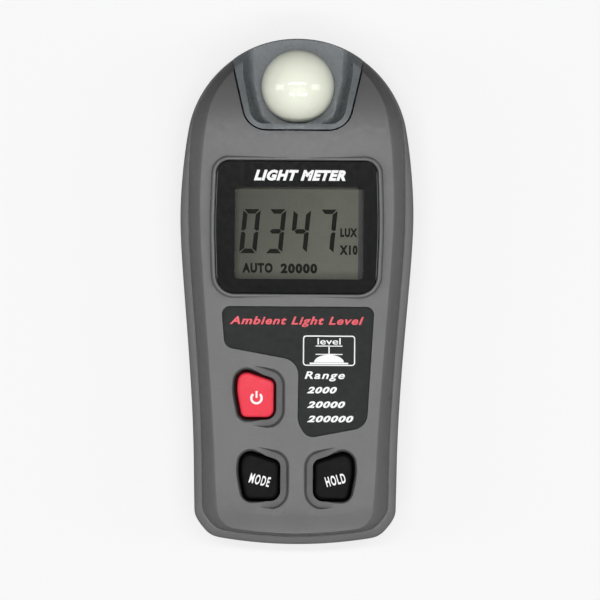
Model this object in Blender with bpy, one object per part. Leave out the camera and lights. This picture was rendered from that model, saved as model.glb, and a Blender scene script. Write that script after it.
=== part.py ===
"""Handheld light meter, lying on its back.

The origin is on the flat back, under the middle of the case. +X is right, +Y runs towards the
sensor end and +Z comes out of the front face. Dimensions are in millimetres; MM turns them into
Blender's metres.
"""

import math

import bmesh
import bpy
from mathutils import Vector
from mathutils.geometry import interpolate_bezier

MM = 0.001
GAP = 0.3  # clearance between neighbouring pieces

# Case outlines: half of each, from the top centre to the bottom centre. A knot is
# (x, y, heading in degrees, handle before, handle after).
STEPS = (8, 4, 6, 1, 3, 3, 4)
RIM = (
    (0, 70, 0, 0, 13.7),
    (29.55, 47.6, -74.3, 13.7, 4),
    (32.3, 20.8, -90, 10, 15),
    (28.1, -50, -90.6, 28, 3),
    (27.9, -60.3, -91, 3, 1.8),
    (25.5, -65.4, -129, 2.6, 2.4),
    (20.3, -68.35, -171, 2.6, 7),
    (0, -70, -180, 7, 0),
)
FRONT_EDGE = (
    (0, 69.6, 0, 0, 13.4),
    (28.4, 49.2, -70, 13, 5),
    (30.0, 20.8, -90, 13, 15),
    (25.9, -50, -90.6, 28, 3),
    (25.75, -59.2, -91, 3, 1.6),
    (23.6, -63.7, -129, 2.2, 2.1),
    (18.9, -66.3, -171, 2.3, 6.5),
    (0, -67.8, -180, 6.5, 0),
)
RIDGE = (
    (0, 66.8, 0, 0, 11),
    (23.3, 53, -66, 10, 5),
    (26.5, 22, -90.5, 12, 14),
    (22.0, -48, -92.5, 24, 3),
    (21.3, -59.5, -93, 3, 1.6),
    (19.9, -63.6, -128, 1.6, 1.4),
    (16.4, -65.5, -172, 1.6, 5.5),
    (0, -66.7, -180, 5.5, 0),
)
BACK = (
    (0, 64.5, 0, 0, 11.5),
    (24.6, 45.5, -74, 11, 4),
    (27.3, 20.8, -90, 10, 15),
    (23.6, -50, -90.6, 26, 3),
    (23.4, -57.6, -91, 3, 1.7),
    (21.3, -62.2, -129, 2.2, 2),
    (16.8, -64.6, -171, 2.2, 6),
    (0, -65.8, -180, 6, 0),
)

# Heights of the case.
RIM_Z = 12.5
LIP_Z = 14.7  # top edge of the rear shell
PART_Z = 15.0  # bottom edge of the front shell
TONGUE_Z = 16.3
FACE_Z = 23.0  # front face at its ridge
CROWN = 1.2
CROWN_HALF = 26.0
WALL = 2.0
FLOOR_Z = 2.4
SLOPE = ((0.0, 0.0), (0.22, 0.38), (0.55, 0.74), (0.88, 0.95), (1.0, 1.0))
REAR_CURVE = ((1.0, 0.0), (0.62, 0.9), (0.3, 3.0), (0.08, 7.0), (0.0, RIM_Z))

# Display.
WINDOW = (
    (-22.0, 35.9, 3.4),
    (22.0, 35.9, 3.4),
    (22.6, 18.0, 90),
    (21.9, -0.5, 5.0),
    (-21.9, -0.5, 5.0),
    (-22.6, 18.0, 90),
)
WINDOW_TOP = 24.1
WINDOW_THICK = 1.4
RIM_TOP = 24.3
RIM_WIDTH = 1.25
LEDGE_WIDTH = 1.5
LCD_X = 19.8
LCD_Y = (1.0, 31.2)
LCD_Z = (18.4, 20.4)
HOLDER_TOP = 21.1
HOLDER_X = 21.2
HOLDER_Y = (-0.4, 32.6)
VIEW_X = 18.6  # half width of the holder's opening
VIEW_Y = (2.4, 29.8)
REFLECTOR_THICK = 0.6
ZEBRA = (17.5, 1.8)  # half length and width

# Lower label.
LABEL = (
    (-20.5, -4.3, 2.1),
    (21.4, -4.3, 2.1),
    (19.5, -37.2, 4.2),
    (3.2, -40.3, 3.2),
    (0.7, -36.0, 6.0),
    (0.9, -19.0, 5.0),
    (-19.6, -15.3, 2.6),
)
LABEL_THICK = 0.5
LABEL_POCKET = 0.8

# Keys: the opening's corners about its own centre, each (x, y, corner radius).
KEY_CORNERS = (
    (-5.2, 8.05, 3.2),
    (5.78, 4.42, 2.4),
    (5.78, -6.8, 2.9),
    (-4.35, -6.8, 2.4),
    (-5.92, 1.35, 14),
)
KEYS = {"power": (-11.1, -28.65, 1), "mode": (-9.85, -51.1, 1), "hold": (10.6, -51.1, -1)}
KEY_INSET = 0.7
KEY_FLANGE = 0.6
KEY_TOP = 25.0
KEY_FLANGE_Z = (19.95, 20.6)
SHEET_Z = (17.5, 18.3)
PILL_Z = (18.5, 18.9)
PILL_R = 2.2
STEM_R = 2.6
WEB = ((6.0, 18.6), (5.4, 18.85), (4.4, 19.65))  # radius and z of the thin cone under a key
WEB_INSIDE = ((5.2, 18), (5.2, 18.6), (3.6, 19.65), (3.6, 21))
SHEET_HOLE_R = 4.6
SHEET = ((-18, -18, 2), (17, -18, 2), (18.5, -45, 9), (17.5, -57, 2), (-17.5, -57, 2))

# Sensor end.
CUP_TOP_RADIUS = 32.0
CUP_CORNER_X = 17.5
CUP = ((17.9, 63.8, 0.6), (17.2, 60.2, 8), (13.65, 44.7, 6.3))
CUP_PROUD = 0.4
CUP_WALL = (1.9, 4.4)  # side wall at its top and at the floor
CUP_LOWER_WALL = 1.5
CUP_OPEN_END = 12.0  # how far the trough's cutter runs past the top end
CUP_FLOOR = (15.1, 16.2)
CUP_SOCKET_Z = 12.6
DOME_XY = (0.0, 56.65)
DOME_R = 10.1
DOME_Z = 16.9
DOME_WALL = 1.3
DOME_NECK = (8.2, 10.0)  # radius and lowest z

# Boards.
BOARD_Z = (15.6, 17.2)
BOARD_X = 21.0
BOARD_Y = (-57.5, 35.5)
BOARD_TONGUE = (16.5, 41.8)
SENSOR_BOARD_Z = (5.2, 6.4)
SENSOR_BOARD = ((-13, 47.6, 2), (13, 47.6, 2), (12, 63.4, 3), (-12, 63.4, 3))
FILTER_DISC = (6.4, 9.6, 10.8)  # radius, lowest and highest z
DIODE = ((4.6, 6.7), (4.6, 7.4), (4.1, 7.4), (4.1, 9.1))
CHIPS = {"microcontroller": (-5, 5, 14, 24, 1.6), "op_amp": (-12.5, -8.6, 27, 32, 1.5)}
CRYSTAL = (9, 13, 12, 20, 3.2)  # x, x, y, y and height below the board
TRIMMER = (8.5, 13.5, 27, 32, 4)
CAPACITOR = (-11, 12, 2.5, 7)  # x, y, radius and height

# Power.
CELL_R = 5.25
CELL_LENGTH = 44.5
CELL_PITCH = 11.0
CELL_Z = 7.9
PLATE = 0.4  # contact plate thickness
CONTACT_Z = (3.6, 12.4)
SPRING = (3, 4.0, 0.3)  # turns, length and wire radius
SPRING_R = (3.6, 2.0)  # coil radius at the plate and at the cell
WIRE_R = 0.55
BATTERY_WIRE = ((0, 14.9), (0, 10), (8, 14.6), (8, 8))  # y and z: start, its pull, end, its pull
BAY_X = 17.0
BAY_Y = (-58.2, -6.8)
BAY_TOP = 13.5
TRAY_WALL = 1.2
DOOR_X = 18.5
DOOR_Y = 3.0
DOOR_THICK = 1.9
TONGUE = (1.1, 0.8, 1.6)  # door tongue: width, lowest and highest z
CASE_SCREWS = {
    "upper_left": (-20.5, 39.0, 3.0),
    "upper_right": (20.5, 39.0, 3.0),
    "lower_left": (-9.5, -62.2, 5.0),
    "lower_right": (9.5, -62.2, 5.0),
}
BOARD_SCREWS = {"left": -13.0, "right": 13.0}
BOARD_SCREW_Y = 39.3
BOSS_SPLIT = 12.0  # where the rear bosses meet the front ones


def clear_scene():
    for obj in list(bpy.data.objects):
        bpy.data.objects.remove(obj, do_unlink=True)


def paint(name, rgb, roughness, metallic=0.0):
    mat = bpy.data.materials.new(name)
    mat.use_nodes = True
    shader = mat.node_tree.nodes["Principled BSDF"]
    shader.inputs["Base Color"].default_value = (*rgb, 1)
    shader.inputs["Roughness"].default_value = roughness
    shader.inputs["Metallic"].default_value = metallic
    return mat


# Outlines


def half_outline(knots):
    """The points of a half outline, on a chain of Bezier curves."""
    points = []
    for (x0, y0, a0, _, out), (x1, y1, a1, into, _), steps in zip(knots, knots[1:], STEPS):
        start, end = Vector((x0, y0)), Vector((x1, y1))
        turn0, turn1 = math.radians(a0), math.radians(a1)
        first = start + out * Vector((math.cos(turn0), math.sin(turn0)))
        second = end - into * Vector((math.cos(turn1), math.sin(turn1)))
        points += interpolate_bezier(start, first, second, end, steps + 1)[:-1]
    return points + [Vector(knots[-1][:2])]


def case_outline(knots):
    right = half_outline(knots)
    return right + [Vector((-p.x, p.y)) for p in reversed(right[1:-1])]


def between(first, second, share):
    return [a.lerp(b, share) for a, b in zip(first, second)]


def offset(outline, distance):
    """The outline moved outwards by distance, or inwards where distance is negative."""
    area = sum(a.cross(b) for a, b in zip(outline, outline[1:] + outline[:1]))
    side = distance if area > 0 else -distance
    moved = []
    for before, here, after in zip(outline[-1:] + outline, outline, outline[1:] + outline[:1]):
        first, second = (here - before).normalized(), (after - here).normalized()
        normal = Vector((first.y + second.y, -first.x - second.x)).normalized()
        stretch = max(0.5, normal.dot(Vector((first.y, -first.x))))
        moved.append(here + normal * (side / stretch))
    return moved


def rounded(corners, degrees=18):
    """A polygon of (x, y, radius) corners, each turned into an arc unless its radius is 0."""
    points = []
    for before, corner, after in zip(corners[-1:] + corners, corners, corners[1:] + corners[:1]):
        here = Vector(corner[:2])
        if not corner[2]:
            points.append(here)
            continue
        back = (Vector(before[:2]) - here).normalized()
        ahead = (Vector(after[:2]) - here).normalized()
        half = back.angle(ahead) / 2
        reach = corner[2] / math.tan(half)
        middle = here + (back + ahead).normalized() * (corner[2] / math.sin(half))
        start, end = here + back * reach - middle, here + ahead * reach - middle
        turn = start.angle_signed(end)
        count = max(1, math.ceil(abs(math.degrees(turn)) / degrees))
        for i in range(count + 1):
            angle = -turn * i / count
            spun = Vector(
                (
                    start.x * math.cos(angle) - start.y * math.sin(angle),
                    start.x * math.sin(angle) + start.y * math.cos(angle),
                )
            )
            points.append(middle + spun)
    return points


def rectangle(x0, x1, y0, y1):
    return [Vector(p) for p in ((x0, y0), (x1, y0), (x1, y1), (x0, y1))]


def circle(x, y, radius, count=24):
    turns = (2 * math.pi * (i + 0.5) / count for i in range(count))
    return [Vector((x + radius * math.cos(t), y + radius * math.sin(t))) for t in turns]


def cup_outline():
    """The sensor cup's outline: an arc along the top and a rounded taper below it."""
    edge = math.asin(CUP_CORNER_X / CUP_TOP_RADIUS)
    count = 8
    arc = []
    for i in range(-count, count + 1):
        turn = edge * i / count
        drop = CUP_TOP_RADIUS * (1 - math.cos(turn))
        arc.append((CUP_TOP_RADIUS * math.sin(turn), RIM[0][1] - drop, 0))
    left = [(-x, y, radius) for x, y, radius in reversed(CUP)]
    return rounded([*arc, *CUP, *left])


def cup_inside(side):
    """The trough in the cup: the sides moved inwards by side, and open at the top end."""
    right = [(CUP[0][0] + 0.6, RIM[0][1] + CUP_OPEN_END), *(corner[:2] for corner in CUP[1:])]
    left = [(-x, y) for x, y in reversed(right)]
    moved = offset([Vector(p) for p in right + left], -side)
    radii = (0, 8, CUP[-1][2] - CUP_WALL[0])
    radii += radii[::-1]
    down = CUP_LOWER_WALL - side
    return rounded([(p.x, p.y + down, radius) for p, radius in zip(moved, radii)])


def key_outline(name, extra=0.0):
    x, y, side = KEYS[name]
    corners = [(side * cx, cy, radius) for cx, cy, radius in KEY_CORNERS]
    return [p + Vector((x, y)) for p in offset(rounded(corners), extra)]


# Solids


def smoothstep(value, start, end):
    share = min(1.0, max(0.0, (value - start) / (end - start)))
    return share * share * (3 - 2 * share)


def face_z(x, y):
    """Height of the crowned front face, which falls away towards both ends."""
    crown = CROWN * (1 - (x / CROWN_HALF) ** 2)
    return FACE_Z + crown - 4.2 * smoothstep(y, 42, 70) - 3.0 * smoothstep(-y, 56, 69)


def level(outline, z):
    return [Vector((p.x, p.y, z)) for p in outline]


def loft(rings):
    """A closed skin through rings of equal count, with both ends capped."""
    bm = bmesh.new()
    rows = [[bm.verts.new(p) for p in ring] for ring in rings]
    for low, high in zip(rows, rows[1:]):
        for i, vert in enumerate(low):
            j = (i + 1) % len(low)
            bm.faces.new((vert, low[j], high[j], high[i]))
    bm.faces.new(rows[0])
    bm.faces.new(rows[-1])
    bmesh.ops.triangulate(bm, faces=bm.faces)
    bmesh.ops.recalc_face_normals(bm, faces=bm.faces)
    return bm


def prism(outline, z0, z1):
    return loft([level(outline, z0), level(outline, z1)])


def block(x0, x1, y0, y1, z0, z1):
    return prism(rectangle(x0, x1, y0, y1), z0, z1)


def turned(x, y, profile, count=24):
    """A turned solid on a vertical axis, from a profile of (radius, z)."""
    return loft([level(circle(x, y, radius, count), z) for radius, z in profile])


def turned_along_y(x, z, profile, count=20):
    """The same, on an axis along Y, from a profile of (radius, y)."""
    return loft(
        [[Vector((p.x, y, p.y)) for p in circle(x, z, radius, count)] for radius, y in profile]
    )


def add(name, bm, mat, axis_at=(0, 0, 0), smooth=True):
    """A named object whose origin is at axis_at, in millimetres."""
    bmesh.ops.translate(bm, verts=bm.verts, vec=-Vector(axis_at))
    bmesh.ops.scale(bm, verts=bm.verts, vec=(MM, MM, MM))
    mesh = bpy.data.meshes.new(name)
    bm.to_mesh(mesh)
    bm.free()
    mesh.materials.append(mat)
    if smooth:
        mesh.shade_smooth()
        mesh.set_sharp_from_angle(angle=math.radians(35))
    obj = bpy.data.objects.new(name, mesh)
    obj.location = Vector(axis_at) * MM
    bpy.context.scene.collection.objects.link(obj)
    return obj


def helper(name, bm):
    """A cutter or an addition, which is not a piece itself."""
    obj = add(name, bm, HELPER, smooth=False)
    obj.hide_render = True
    obj.display_type = "WIRE"
    return obj


def combine(target, operation, *others):
    for other in others:
        step = target.modifiers.new(other.name, "BOOLEAN")
        step.operation = operation
        step.object = other


# Case


def front_solid(grow=0.0, lift=0.0):
    """The front shell's outer shape, filled."""
    edge = offset(case_outline(FRONT_EDGE), grow)
    ridge = offset(case_outline(RIDGE), grow)
    rings = []
    for share, height in SLOPE:
        ring = between(edge, ridge, share)
        rings.append(
            [
                Vector((p.x, p.y, PART_Z + height * (face_z(r.x, r.y) + lift - PART_Z)))
                for p, r in zip(ring, ridge)
            ]
        )
    for size in (0.94, 0.84, 0.68, 0.45):
        rings.append([Vector((p.x * size, p.y * size, 0)) for p in ridge])
        for p in rings[-1]:
            p.z = face_z(p.x, p.y) + lift
    return loft(rings)


def front_void():
    """The space inside the front shell, with a step that takes the rear shell's tongue."""
    edge, ridge = case_outline(FRONT_EDGE), offset(case_outline(RIDGE), -1.6)
    inner = offset(edge, -WALL)
    rings = [
        level(offset(edge, -1.3), PART_Z - 1),
        level(offset(edge, -1.3), TONGUE_Z + GAP),
        level(inner, TONGUE_Z + GAP + 0.3),
    ]
    for share, height in ((0.5, 0.6), (1.0, 1.0)):
        ring = between(inner, ridge, share)
        rings.append(
            [
                Vector((p.x, p.y, PART_Z + height * (face_z(r.x, r.y) - WALL - PART_Z)))
                for p, r in zip(ring, ridge)
            ]
        )
    for size in (0.8, 0.5):
        rings.append([Vector((p.x * size, p.y * size, 0)) for p in ridge])
        for p in rings[-1]:
            p.z = face_z(p.x, p.y) - WALL
    return loft(rings)


def rear_solid():
    """The rear shell's outer shape, filled, with the tongue on top."""
    rim, back, edge = case_outline(RIM), case_outline(BACK), case_outline(FRONT_EDGE)
    rings = [level(between(rim, back, share), z) for share, z in REAR_CURVE]
    rings.append(level(between(rim, edge, 0.35), LIP_Z - 0.9))
    rings.append(level(between(rim, edge, 0.9), LIP_Z))
    rings.append(level(offset(edge, -1.6), LIP_Z))
    rings.append(level(offset(edge, -1.6), TONGUE_Z))
    return loft(rings)


def rear_void():
    rim, back, edge = case_outline(RIM), case_outline(BACK), case_outline(FRONT_EDGE)
    return loft(
        [
            level(offset(between(rim, back, 0.42), -2.2), FLOOR_Z),
            level(offset(between(rim, back, 0.12), -2.2), 6.5),
            level(offset(rim, -2.4), RIM_Z),
            level(offset(edge, -2.6), LIP_Z),
            level(offset(edge, -2.6), TONGUE_Z + 1),
        ]
    )


def make_front_shell():
    shell = add("front_shell", front_solid(), CASE)
    rim = rounded(list(WINDOW))
    frame = helper(
        "window_frame",
        loft(
            [
                level(offset(rim, RIM_WIDTH + 0.2), FACE_Z - 2.5),
                level(offset(rim, RIM_WIDTH + 0.2), RIM_TOP - 0.8),
                level(offset(rim, RIM_WIDTH - 0.3), RIM_TOP),
            ]
        ),
    )
    void = helper("front_void", front_void())
    seat = prism(offset(rim, RIM_WIDTH - 0.2), WINDOW_TOP - WINDOW_THICK - GAP - 0.7, FACE_Z + 3)
    combine(void, "DIFFERENCE", helper("window_seat", seat))
    for name, (x, y, _) in CASE_SCREWS.items():
        boss = turned(x, y, ((2.6, BOSS_SPLIT + GAP), (2.6, FACE_Z + 3)), 12)
        combine(void, "DIFFERENCE", helper(f"front_boss_{name}", boss))
    for name, x in BOARD_SCREWS.items():
        boss = turned(x, BOARD_SCREW_Y, ((2.1, BOARD_Z[1] + GAP), (2.1, FACE_Z + 3)), 12)
        combine(void, "DIFFERENCE", helper(f"board_boss_{name}", boss))
    combine(shell, "UNION", frame)
    combine(shell, "DIFFERENCE", void)
    opening = helper(
        "window_opening",
        loft(
            [
                level(offset(rim, -LEDGE_WIDTH), PART_Z),
                level(offset(rim, -LEDGE_WIDTH), WINDOW_TOP - WINDOW_THICK - GAP),
                level(offset(rim, GAP), WINDOW_TOP - WINDOW_THICK - GAP),
                level(offset(rim, GAP), FACE_Z + 3),
            ]
        ),
    )
    notch = helper("sensor_notch", prism(offset(cup_outline(), GAP), PART_Z - 1, FACE_Z + 6))
    combine(shell, "DIFFERENCE", opening, notch, label_pocket())
    for name in KEYS:
        well = prism(key_outline(name), PART_Z, FACE_Z + 4)
        combine(shell, "DIFFERENCE", helper(f"{name}_well", well))
    for name, (x, y, _) in CASE_SCREWS.items():
        pilot = turned(x, y, ((1.4, PART_Z - 4), (1.4, 18.5)), 10)
        combine(shell, "DIFFERENCE", helper(f"front_pilot_{name}", pilot))
    for name, x in BOARD_SCREWS.items():
        pilot = turned(x, BOARD_SCREW_Y, ((1.1, BOARD_Z[1] - 1), (1.1, 20.6)), 8)
        combine(shell, "DIFFERENCE", helper(f"board_pilot_{name}", pilot))


def label_pocket():
    """A pocket for the label whose floor follows the crowned face."""
    outline = offset(rounded(list(LABEL)), GAP)
    pocket = helper("label_pocket", prism(outline, FACE_Z - 2, FACE_Z + 3))
    floor = helper("label_pocket_floor", front_solid(lift=-LABEL_POCKET))
    combine(pocket, "DIFFERENCE", floor)
    return pocket


def make_label():
    label = add("lower_label", prism(rounded(list(LABEL)), FACE_Z - 2, FACE_Z + 3), BLACK_MATTE)
    combine(label, "INTERSECT", helper("label_face", front_solid()))
    combine(label, "DIFFERENCE", helper("label_back", front_solid(lift=-LABEL_THICK)))


def make_rear_shell():
    shell = add("rear_shell", rear_solid(), CASE)
    void = helper("rear_void", rear_void())
    flange = block(-21, 21, -80, DOOR_Y + 2.5, -1, DOOR_THICK + GAP + 2)
    low, high = BAY_Y[0] - TRAY_WALL, BAY_Y[1] + TRAY_WALL
    side = BAY_X + TRAY_WALL
    tray = block(-side, side, low, high, 0, BAY_TOP + 1.0)
    combine(void, "DIFFERENCE", helper("door_flange", flange), helper("battery_tray", tray))
    for name, (x, y, _) in CASE_SCREWS.items():
        boss = turned(x, y, ((3.2, 0), (3.2, BOSS_SPLIT)), 12)
        combine(void, "DIFFERENCE", helper(f"rear_boss_{name}", boss))
    combine(shell, "DIFFERENCE", void)
    bay = block(-BAY_X, BAY_X, *BAY_Y, -1, BAY_TOP)
    width, z0, z1 = TONGUE
    recess = block(-DOOR_X - GAP, DOOR_X + GAP, -80, DOOR_Y + GAP, -1, DOOR_THICK + GAP)
    reach = DOOR_X + width + GAP
    groove = block(-reach, reach, -80, DOOR_Y + GAP, z0 - GAP, z1 + GAP)
    notch = prism(offset(cup_outline(), GAP), LIP_Z - 0.1, TONGUE_Z + 2)
    for name, cutter in (("bay", bay), ("recess", recess), ("groove", groove), ("notch", notch)):
        combine(shell, "DIFFERENCE", helper(f"rear_{name}", cutter))
    for name, (x, y, seat) in CASE_SCREWS.items():
        bore = ((2.4, -1), (2.4, seat), (1.4, seat), (1.4, BOSS_SPLIT + 4))
        combine(shell, "DIFFERENCE", helper(f"rear_bore_{name}", turned(x, y, bore, 12)))


def make_battery_door():
    """The door follows the case's outer curve, with a tongue along each side."""
    box = block(-DOOR_X, DOOR_X, -80, DOOR_Y, -1, DOOR_THICK)
    width, z0, z1 = TONGUE
    reach = DOOR_X + width
    tongues = helper("door_tongues", block(-reach, reach, -55, DOOR_Y - 1, z0, z1))
    door = add("battery_door", box, CASE)
    combine(door, "UNION", tongues)
    combine(door, "INTERSECT", helper("door_curve", rear_solid()))


def make_case_screws():
    for name, (x, y, seat) in CASE_SCREWS.items():
        head = seat - GAP
        profile = ((1.2, head - 1.4), (1.9, head - 1.0), (2.0, head), (1.1, head), (1.1, 16.8))
        profile += ((0.4, 17.8),)
        add(f"case_screw_{name}", turned(x, y, profile, 14), STEEL)


# Display


def make_display():
    rim = rounded(list(WINDOW))
    bottom = WINDOW_TOP - WINDOW_THICK
    add("display_window", prism(rim, bottom, WINDOW_TOP), BLACK_GLOSS)
    x, (y0, y1), (z0, z1) = LCD_X, LCD_Y, LCD_Z
    add("lcd_glass", block(-x, x, y0, y1, z0, z1), LCD)
    frame = block(-HOLDER_X, HOLDER_X, *HOLDER_Y, BOARD_Z[1] + GAP, HOLDER_TOP)
    holder = add("lcd_holder", frame, BLACK_MATTE)
    combine(
        holder,
        "DIFFERENCE",
        helper("holder_pocket", block(-x - GAP, x + GAP, y0 - GAP, y1 + GAP, 10, z1 + GAP)),
        helper("holder_opening", block(-VIEW_X, VIEW_X, *VIEW_Y, 10, 30)),
    )
    inset, top = 1.6, z0 - GAP
    sheet = block(-VIEW_X, VIEW_X, VIEW_Y[0] + inset, VIEW_Y[1] - inset, top - REFLECTOR_THICK, top)
    add("lcd_reflector", sheet, WHITE)
    half, width = ZEBRA
    for name, y in (("lower", y0 + 0.6), ("upper", y1 - 0.6 - width)):
        strip = block(-half, half, y, y + width, BOARD_Z[1] + GAP, top)
        add(f"zebra_strip_{name}", strip, RUBBER)


# Keys


def make_key(name):
    x, y, _ = KEYS[name]
    z0, z1 = KEY_FLANGE_Z
    axis = (x, y, z1)
    cap = [
        level(key_outline(name, KEY_FLANGE), z0),
        level(key_outline(name, KEY_FLANGE), z1),
        level(key_outline(name, -KEY_INSET), z1),
        level(key_outline(name, -KEY_INSET), KEY_TOP - 0.8),
        level(key_outline(name, -KEY_INSET - 0.35), KEY_TOP - 0.25),
        level(key_outline(name, -KEY_INSET - 1.1), KEY_TOP),
    ]
    colour = RED if name == "power" else BLACK_RUBBER
    key = add(f"{name}_key", loft(cap), colour, axis)
    stem = helper(f"{name}_stem", turned(x, y, ((STEM_R, PILL_Z[1] + GAP), (STEM_R, z0 + 0.5)), 12))
    combine(key, "UNION", stem)
    pill = turned(x, y, [(PILL_R, z) for z in PILL_Z], 12)
    add(f"{name}_pill", pill, RUBBER, axis)
    web = add(f"{name}_web", turned(x, y, WEB, 16), RUBBER, axis)
    combine(web, "DIFFERENCE", helper(f"{name}_web_inside", turned(x, y, WEB_INSIDE, 16)))


def make_keypad_sheet():
    sheet = add("keypad_sheet", prism(rounded(list(SHEET)), *SHEET_Z), RUBBER)
    for name, (x, y, _) in KEYS.items():
        hole = turned(x, y, [(SHEET_HOLE_R, SHEET_Z[0] - 1), (SHEET_HOLE_R, SHEET_Z[1] + 1)], 16)
        combine(sheet, "DIFFERENCE", helper(f"{name}_sheet_hole", hole))


# Sensor


def make_sensor_cup():
    cup = add("sensor_cup", prism(cup_outline(), CUP_FLOOR[0], FACE_Z + 4), CUP_GREY)
    combine(cup, "INTERSECT", helper("cup_face", front_solid(grow=CUP_PROUD, lift=CUP_PROUD)))
    top, bottom = (cup_inside(side) for side in CUP_WALL)
    trough = helper("cup_trough", loft([level(bottom, CUP_FLOOR[1]), level(top, FACE_Z + 2)]))
    socket = turned(*DOME_XY, ((DOME_R, CUP_SOCKET_Z), (DOME_R, CUP_FLOOR[1] - 0.3)), 32)
    bore = DOME_NECK[0] + GAP
    hole = turned(*DOME_XY, ((bore, 5), (bore, CUP_FLOOR[1] + 1)), 32)
    combine(cup, "DIFFERENCE", trough)
    combine(cup, "UNION", helper("cup_socket", socket))
    combine(cup, "DIFFERENCE", helper("cup_hole", hole))


def make_dome():
    """A hollow diffuser: most of a sphere on a neck that goes down through the cup's floor."""
    neck, low = DOME_NECK
    seat = CUP_FLOOR[1] + GAP
    hollow = DOME_R - DOME_WALL
    outside = [(neck, low), (neck, seat)]
    inside = [(neck - DOME_WALL, low - 1), (neck - DOME_WALL, seat + DOME_WALL)]
    foot = math.asin((seat - DOME_Z) / DOME_R)
    for degrees in (math.degrees(foot), 0, 15, 30, 45, 60, 72, 83):
        turn = math.radians(degrees)
        outside.append((DOME_R * math.cos(turn), DOME_Z + DOME_R * math.sin(turn)))
        if degrees >= 0:
            inside.append((hollow * math.cos(turn), DOME_Z + hollow * math.sin(turn)))
    dome = add("diffuser_dome", turned(*DOME_XY, outside, 32), WHITE)
    combine(dome, "DIFFERENCE", helper("dome_hollow", turned(*DOME_XY, inside, 32)))


def ring(name, radius, hole, z0, z1, mat, count=32):
    body = add(name, turned(*DOME_XY, ((radius, z0), (radius, z1)), count), mat)
    inside = turned(*DOME_XY, ((hole, z0 - 1), (hole, z1 + 1)), count)
    combine(body, "DIFFERENCE", helper(f"{name}_hole", inside))


def make_sensor():
    ring("dome_seal", DOME_R, DOME_NECK[0] + GAP, DOME_NECK[1] + GAP, CUP_SOCKET_Z - GAP, RUBBER)
    x, y = DOME_XY
    radius, low, high = FILTER_DISC
    add("colour_filter", turned(x, y, ((radius, low), (radius, high)), 24), FILTER)
    add("photodiode", turned(x, y, DIODE, 20), STEEL)
    add("sensor_board", prism(rounded(list(SENSOR_BOARD)), *SENSOR_BOARD_Z), BOARD_GREEN)


# Boards and power


def make_main_board():
    wide, (low, high), (narrow, top) = BOARD_X, BOARD_Y, BOARD_TONGUE
    outline = rounded(
        [
            (-wide, low, 1.5),
            (wide, low, 1.5),
            (wide, high, 1),
            (narrow, high, 0.5),
            (narrow, top, 1),
            (-narrow, top, 1),
            (-narrow, high, 0.5),
            (-wide, high, 1),
        ],
        45,
    )
    board = add("main_board", prism(outline, *BOARD_Z), BOARD_GREEN)
    for name, x in BOARD_SCREWS.items():
        hole = turned(x, BOARD_SCREW_Y, ((1.2, BOARD_Z[0] - 1), (1.2, BOARD_Z[1] + 1)), 8)
        combine(board, "DIFFERENCE", helper(f"board_hole_{name}", hole))
        head = BOARD_Z[0] - GAP
        profile = ((1.5, head - 1.1), (1.8, head - 0.8), (1.8, head), (0.8, head), (0.8, 20.2))
        add(f"board_screw_{name}", turned(x, BOARD_SCREW_Y, profile, 10), STEEL)


def make_components():
    under = BOARD_Z[0] - GAP
    parts = [(name, box, CHIP) for name, box in CHIPS.items()]
    parts += [("crystal", CRYSTAL, STEEL), ("trimmer", TRIMMER, TRIMMER_BLUE)]
    for name, (*sides, height), mat in parts:
        add(name, block(*sides, under - height, under), mat)
    x, y, radius, height = CAPACITOR
    add("capacitor", turned(x, y, ((radius, under - height), (radius, under)), 14), CHIP)


def cell(name, x, way):
    """An AAA cell along Y. way is 1 where its positive end points to +Y."""
    end, nub = CELL_LENGTH / 2, 0.9
    plate_face = BAY_Y[(way + 1) // 2] - way * (GAP + PLATE)
    middle = plate_face - way * (GAP + end)
    profile = [(CELL_R - 0.4, -end), (CELL_R, -end + 0.4), (CELL_R, end - nub - 0.4)]
    profile += [(CELL_R - 0.4, end - nub), (1.9, end - nub), (1.8, end)]
    profile = [(radius, middle + way * along) for radius, along in profile]
    add(name, turned_along_y(x, CELL_Z, profile), CELL_SKIN)


def spring(name, x, y_plate, way):
    """A conical spring on a contact plate, standing towards the cell."""
    turns, length, thickness = SPRING
    count = turns * 10
    points = []
    for i in range(count + 1):
        share = i / count
        turn = 2 * math.pi * turns * share
        radius = SPRING_R[0] + (SPRING_R[1] - SPRING_R[0]) * share
        spot = (x + radius * math.cos(turn), y_plate + way * length * share)
        points.append((*spot, CELL_Z + radius * math.sin(turn)))
    tube(name, points, thickness, STEEL, 1)


def tube(name, points, radius, mat, resolution=2):
    curve = bpy.data.curves.new(name, "CURVE")
    curve.dimensions = "3D"
    curve.bevel_depth = radius * MM
    curve.bevel_resolution = resolution
    curve.use_fill_caps = True
    spline = curve.splines.new("POLY")
    spline.points.add(len(points) - 1)
    for spot, (x, y, z) in zip(spline.points, points):
        spot.co = (x * MM, y * MM, z * MM, 1)
    curve.materials.append(mat)
    obj = bpy.data.objects.new(name, curve)
    bpy.context.scene.collection.objects.link(obj)


def wire(name, start, start_pull, end, end_pull, mat):
    """A lead along one smooth curve between two solder points."""
    knots = [Vector(p) for p in (start, start_pull, end_pull, end)]
    tube(name, interpolate_bezier(*knots, 12), WIRE_R, mat, 1)


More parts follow.
